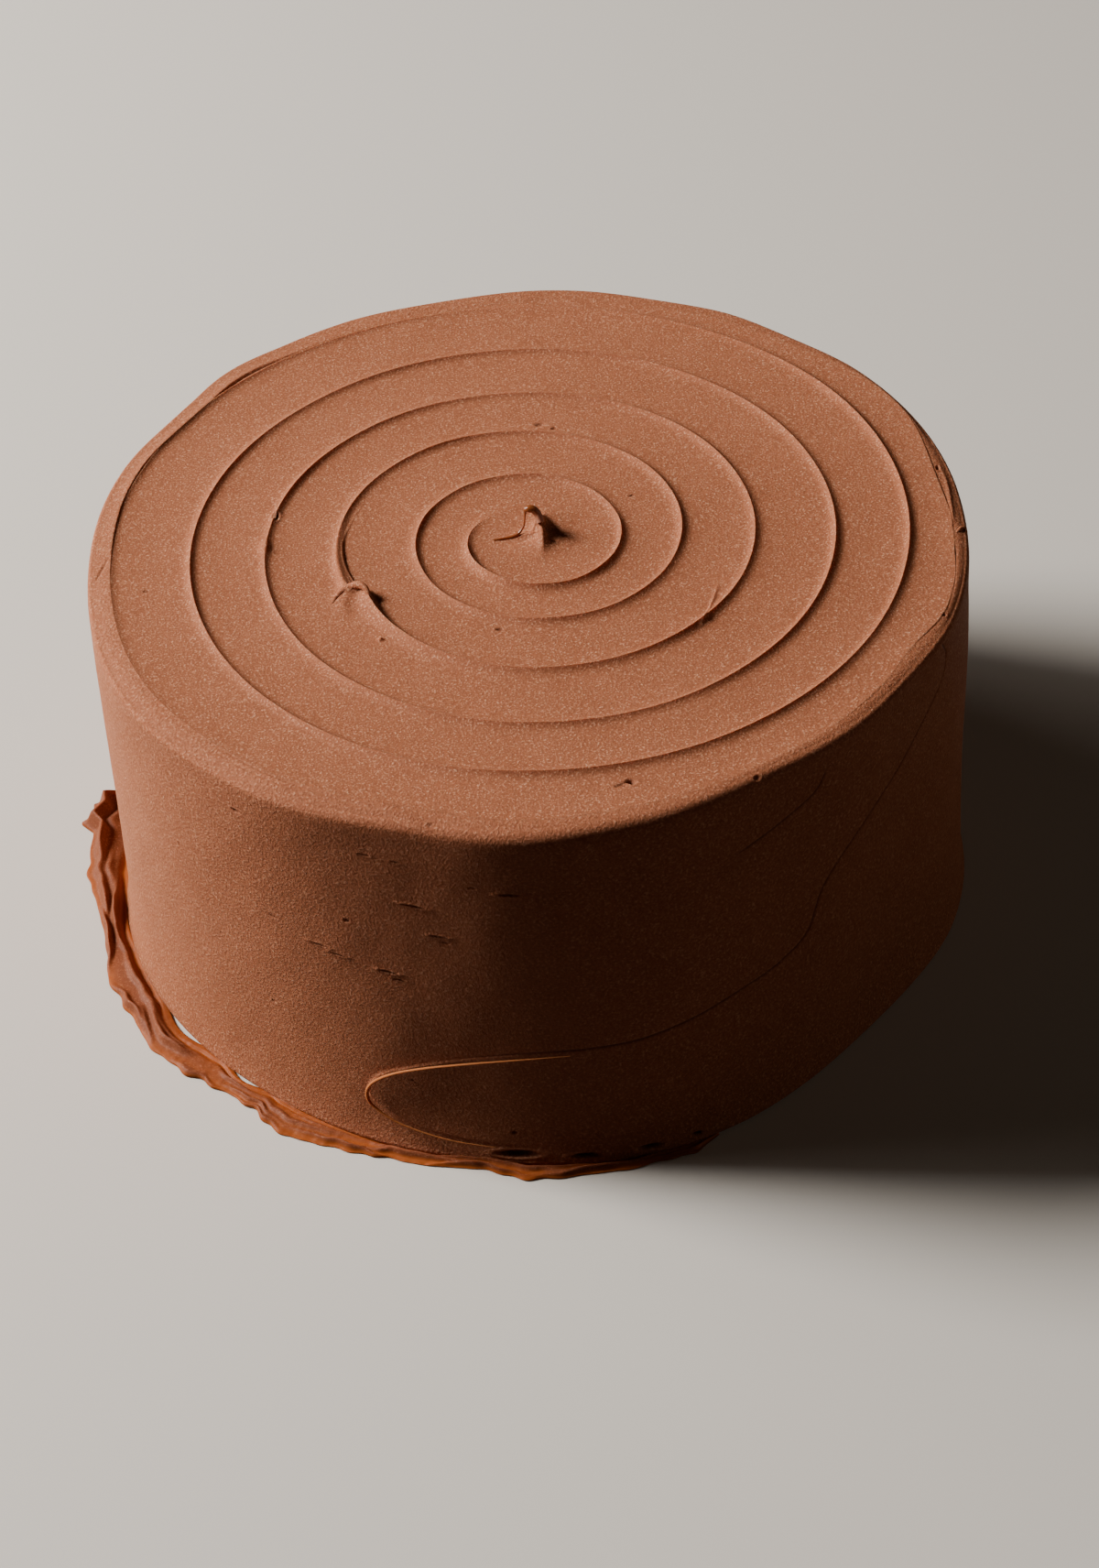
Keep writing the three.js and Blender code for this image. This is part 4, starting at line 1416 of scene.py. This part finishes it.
@dataclass
class FootSmear:
    """The ragged frosting squeezed out round the foot, folded lengthwise and thin at its edge."""

    form: CakeForm = field(default_factory=CakeForm)
    start: float = 165.0
    end: float = 290.5
    stations: int = 700
    across: int = 34
    outline: tuple[tuple[float, float, float], ...] = (
        (165.0, 111.5, 1.0), (166.0, 116.0, 4.6), (167.2, 122.5, 6.4), (169.0, 121.0, 7.0), (170.6, 124.8, 5.6),
        (172.0, 121.5, 4.6), (175.0, 121.0, 4.2), (180.0, 119.4, 3.4),
        (190.0, 118.0, 3.3), (200.0, 118.2, 3.3), (208.0, 118.2, 3.1), (216.0, 117.2, 2.8), (224.0, 115.6, 2.3),
        (234.0, 113.8, 1.9), (246.0, 112.6, 1.5), (258.0, 112.9, 1.5), (270.0, 114.2, 1.6), (280.0, 114.4, 1.4),
        (287.0, 112.8, 1.1), (290.5, 110.2, 0.5))
    clear: tuple[Bump, ...] = (Bump(190, 9, 1.6), Bump(212, 8, 2.5), Bump(225, 5, 2.0))
    folds: int = 4
    fold_share: float = 0.55
    edge_raggedness: float = 1.0
    thin_height: float = 1.5

    def surface(self) -> tuple[np.ndarray, np.ndarray]:
        """Lays out the smear's closed section at every station.

        Returns:
            Points in millimetres, stations by section points, and how thin and torn each is.
        """
        azimuth = np.linspace(self.start, self.end, self.stations)
        known = np.array(self.outline)
        outer = np.interp(azimuth, known[:, 0], known[:, 1])
        height = np.interp(azimuth, known[:, 0], known[:, 2])
        around = np.radians(azimuth) * self.form.foot_radius
        line = np.stack([around, 0 * around, 0 * around], 1)
        ragged = Ripple(31, 22.0).at(line) + 0.5 * Ripple(32, 6.0).at(line) * Ripple(35, 26.0).at(line)
        outer = outer + self.edge_raggedness * ragged * smoothstep(height, 0.4, 1.5)
        inner = self.form.foot_at(azimuth) - 1.6 + total(self.clear, azimuth)
        share = np.linspace(0.0, 1.0, self.across)
        share = share - 0.6 * np.sin(2 * np.pi * share) / (2 * np.pi)
        s = share[None, :]
        shape = 0.42 + 0.58 * np.sin(np.pi * np.clip(s, 0, 1)) ** 0.8
        wide_gap = 0.06 + 0.07 * smoothstep(207.0 - azimuth, 0.0, 12.0)[:, None]
        gap = np.exp(-((s - 0.24) / wide_gap) ** 2) * np.clip(0.9 + 0.4 * Ripple(33, 18.0).at(line)[:, None], 0, 1)
        crest = np.zeros((self.stations, self.across))
        for number in range(self.folds):
            middle = 0.34 + 0.56 * number / (self.folds - 1) + 0.11 * Ripple(40 + number, 34.0).at(line)
            strength = np.clip(0.5 + 0.85 * Ripple(50 + number, 20.0).at(line), 0.0, 1.4)
            crest += strength[:, None] * np.exp(-((s - middle[:, None]) / 0.08) ** 2)
        fine = Ripple(60, 1.7)
        radius = inner[:, None] + (outer - inner)[:, None] * s
        angle = np.radians(azimuth)[:, None]
        rise = height[:, None] * (shape * (1 - self.fold_share) + self.fold_share * crest)
        rise = rise * (1 - 0.93 * gap)
        x, y = radius * np.cos(angle), radius * np.sin(angle)
        flat = np.stack([x, y, 0 * x], -1).reshape(-1, 3)
        rise = np.maximum(rise + 0.03 * fine.at(flat).reshape(rise.shape), 0.22)
        rise[:, -1] = 0.3
        under = np.stack([np.stack([np.cos(angle[:, 0]) * (outer - back), np.sin(angle[:, 0]) * (outer - back),
                                    0 * outer + low], -1) for back, low in ((0.1, 0.08), (0.5, 0.0))], 1)
        base = np.stack([np.cos(angle[:, 0]) * inner, np.sin(angle[:, 0]) * inner, 0 * inner], -1)[:, None]
        points = np.concatenate([np.stack([x, y, rise], -1), under, base], 1)
        thin = 1 - smoothstep(np.concatenate([rise, np.full((self.stations, 3), 0.2)], 1), 0.5, self.thin_height)
        return points, thin

    def build(self, material: bpy.types.Material) -> bpy.types.Object:
        """Makes the smear.

        Args:
            material: The torn, wetter frosting's material.

        Returns:
            The piece, closed all round.
        """
        points, thin = self.surface()
        stations, section = points.shape[:2]
        index = np.arange(stations * section).reshape(stations, section)
        ring = np.hstack([index, index[:, :1]])
        quads = np.stack([ring[:-1, :-1], ring[1:, :-1], ring[1:, 1:], ring[:-1, 1:]], -1).reshape(-1, 4).tolist()
        ends = [index[0].tolist(), index[-1][::-1].tolist()]
        mesh = bpy.data.meshes.new("foot_smear")
        mesh.from_pydata((points.reshape(-1, 3) * MM).tolist(), [], quads + ends)
        mesh.polygons.foreach_set("use_smooth", [True] * len(mesh.polygons))
        mesh.update()
        bm = bmesh.new()
        bm.from_mesh(mesh)
        bmesh.ops.recalc_face_normals(bm, faces=bm.faces)
        bm.to_mesh(mesh)
        bm.free()
        store(mesh, "torn_and_shade", thin.ravel())
        return add_piece("foot_smear", mesh, material)


@dataclass(frozen=True)
class Lamp:
    """A round soft lamp that faces the cake.

    Args:
        name: The lamp's name.
        azimuth: Its azimuth in degrees.
        elevation: Its elevation in degrees.
        distance: Its distance in metres.
        size: Its diameter in metres.
        power: Its power in watts.
        color: Its colour.
    """

    name: str
    azimuth: float
    elevation: float
    distance: float
    size: float
    power: float
    color: tuple[float, float, float] = (1.0, 0.97, 0.93)

    def build(self) -> None:
        """Adds the lamp to the scene."""
        data = bpy.data.lights.new(self.name, "AREA")
        data.shape = "DISK"
        data.size = self.size
        data.energy = self.power
        data.color = self.color
        lamp = bpy.data.objects.new(self.name, data)
        bpy.context.scene.collection.objects.link(lamp)
        around, rise = math.radians(self.azimuth), math.radians(self.elevation)
        toward = Vector((math.cos(around) * math.cos(rise), math.sin(around) * math.cos(rise), math.sin(rise)))
        lamp.location = toward * self.distance
        lamp.rotation_euler = toward.to_track_quat("Z", "Y").to_euler()


@dataclass
class Stage:
    """Plain pale floor, soft studio light and the camera at the photograph's angle."""

    floor_half: float = 3.0
    eye: tuple[float, float, float] = (2.7, -617.4, 580.5)
    pitch: float = 42.05
    roll: float = -3.34
    focal_pixels: float = 3500.0
    image_height: float = 1712.0
    sensor: float = 36.0
    lamps: tuple[Lamp, ...] = (
        Lamp("key_light", 166.5, 39.0, 1.9, 0.6, 71.0),
        Lamp("side_light", 162.0, 8.0, 1.7, 1.5, 36.0, (1.0, 0.92, 0.84)),
        Lamp("far_glow", 352.0, 14.0, 1.7, 0.7, 2.0, (1.0, 0.86, 0.7)),
    )
    fill_color: tuple[float, float, float] = (1.0, 0.72, 0.48)
    fill_strength: float = 0.009
    bounce_color: tuple[float, float, float] = (0.049, 0.021, 0.009)

    def camera(self) -> None:
        """Places the camera and makes it the scene's."""
        data = bpy.data.cameras.new("photo_camera")
        data.sensor_fit = "VERTICAL"
        data.sensor_height = self.sensor
        data.lens = self.focal_pixels * self.sensor / self.image_height
        data.clip_start = 0.01
        camera = bpy.data.objects.new("photo_camera", data)
        bpy.context.scene.collection.objects.link(camera)
        down = math.radians(self.pitch)
        turn = math.radians(self.roll)
        right = Vector((1, 0, 0))
        up = Vector((0, math.sin(down), math.cos(down)))
        back = Vector((0, -math.cos(down), math.sin(down)))
        right, up = (math.cos(turn) * right + math.sin(turn) * up, -math.sin(turn) * right + math.cos(turn) * up)
        camera.matrix_world = Matrix.Translation(Vector(self.eye) * MM) @ Matrix(
            (right, up, back)).transposed().to_4x4()
        bpy.context.scene.camera = camera

    def lights(self) -> None:
        """Adds the lamps and the soft surround."""
        for lamp in self.lamps:
            lamp.build()
        world = bpy.data.worlds.new("studio")
        world.use_nodes = True
        background = world.node_tree.nodes["Background"]
        background.inputs["Color"].default_value = (*self.fill_color, 1.0)
        background.inputs["Strength"].default_value = self.fill_strength
        bpy.context.scene.world = world

    def floor(self) -> None:
        """Adds the plain pale floor."""
        half = self.floor_half
        mesh = bpy.data.meshes.new("floor")
        mesh.from_pydata([(-half, -half, 0), (half, -half, 0), (half, half, 0), (-half, half, 0)], [], [(0, 1, 2, 3)])
        material = bpy.data.materials.new("pale_floor")
        material.use_nodes = True
        shader = material.node_tree.nodes["Principled BSDF"]
        shader.inputs["Roughness"].default_value = 0.8
        nodes, links = material.node_tree.nodes, material.node_tree.links
        path = nodes.new("ShaderNodeLightPath")
        color = nodes.new("ShaderNodeMix")
        color.data_type = "RGBA"
        color.inputs["A"].default_value = (0.62, 0.58, 0.53, 1.0)
        color.inputs["B"].default_value = (*self.bounce_color, 1.0)
        links.new(path.outputs["Is Diffuse Ray"], color.inputs["Factor"])
        links.new(color.outputs["Result"], shader.inputs["Base Color"])
        floor = add_piece("floor", mesh, material)

    def build(self) -> None:
        """Sets up camera, lights and floor."""
        self.camera()
        self.lights()
        self.floor()


def main() -> None:
    """Builds the cake piece by piece and reports each one."""
    logging.basicConfig(level=logging.INFO, format="%(name)s: %(message)s")
    Stage().build()
    buttercream = FrostingFinish("buttercream").material()
    scraped = FrostingFinish("scraped_buttercream", speck_share=0.35, bump_depth=0.6, grain=SandyGrain(0.62)).material()
    curled = FrostingFinish("curled_buttercream", torn_and_shade_color=(0.40, 0.13, 0.035), torn_roughness=0.5,
                            speck_share=0.2, bump=0.2).material()
    drawn = FrostingFinish("drawn_buttercream", specular=0.8, torn_and_shade_color=(0.22, 0.06, 0.015), torn_roughness=0.22,
                           roughness=0.55, speck_share=0.3, bump=0.25).material()
    smeared = FrostingFinish(
        "smeared_buttercream", torn_and_shade_color=(0.30, 0.07, 0.013), torn_roughness=0.42, roughness=0.52,
        dark=(0.15, 0.042, 0.017), light=(0.22, 0.064, 0.027), speck_share=0.15, bump=0.2).material()
    pieces = [
        TopSurface().build(buttercream), *SideWall().build(scraped), FootSeal().build(buttercream),
        CentrePeak().build(drawn), PausedFold().build(buttercream), SideBurr().build(curled),
        FootSmear().build(smeared),
    ]
    for piece in pieces:
        declare(piece)


if __name__ == "__main__":
    main()
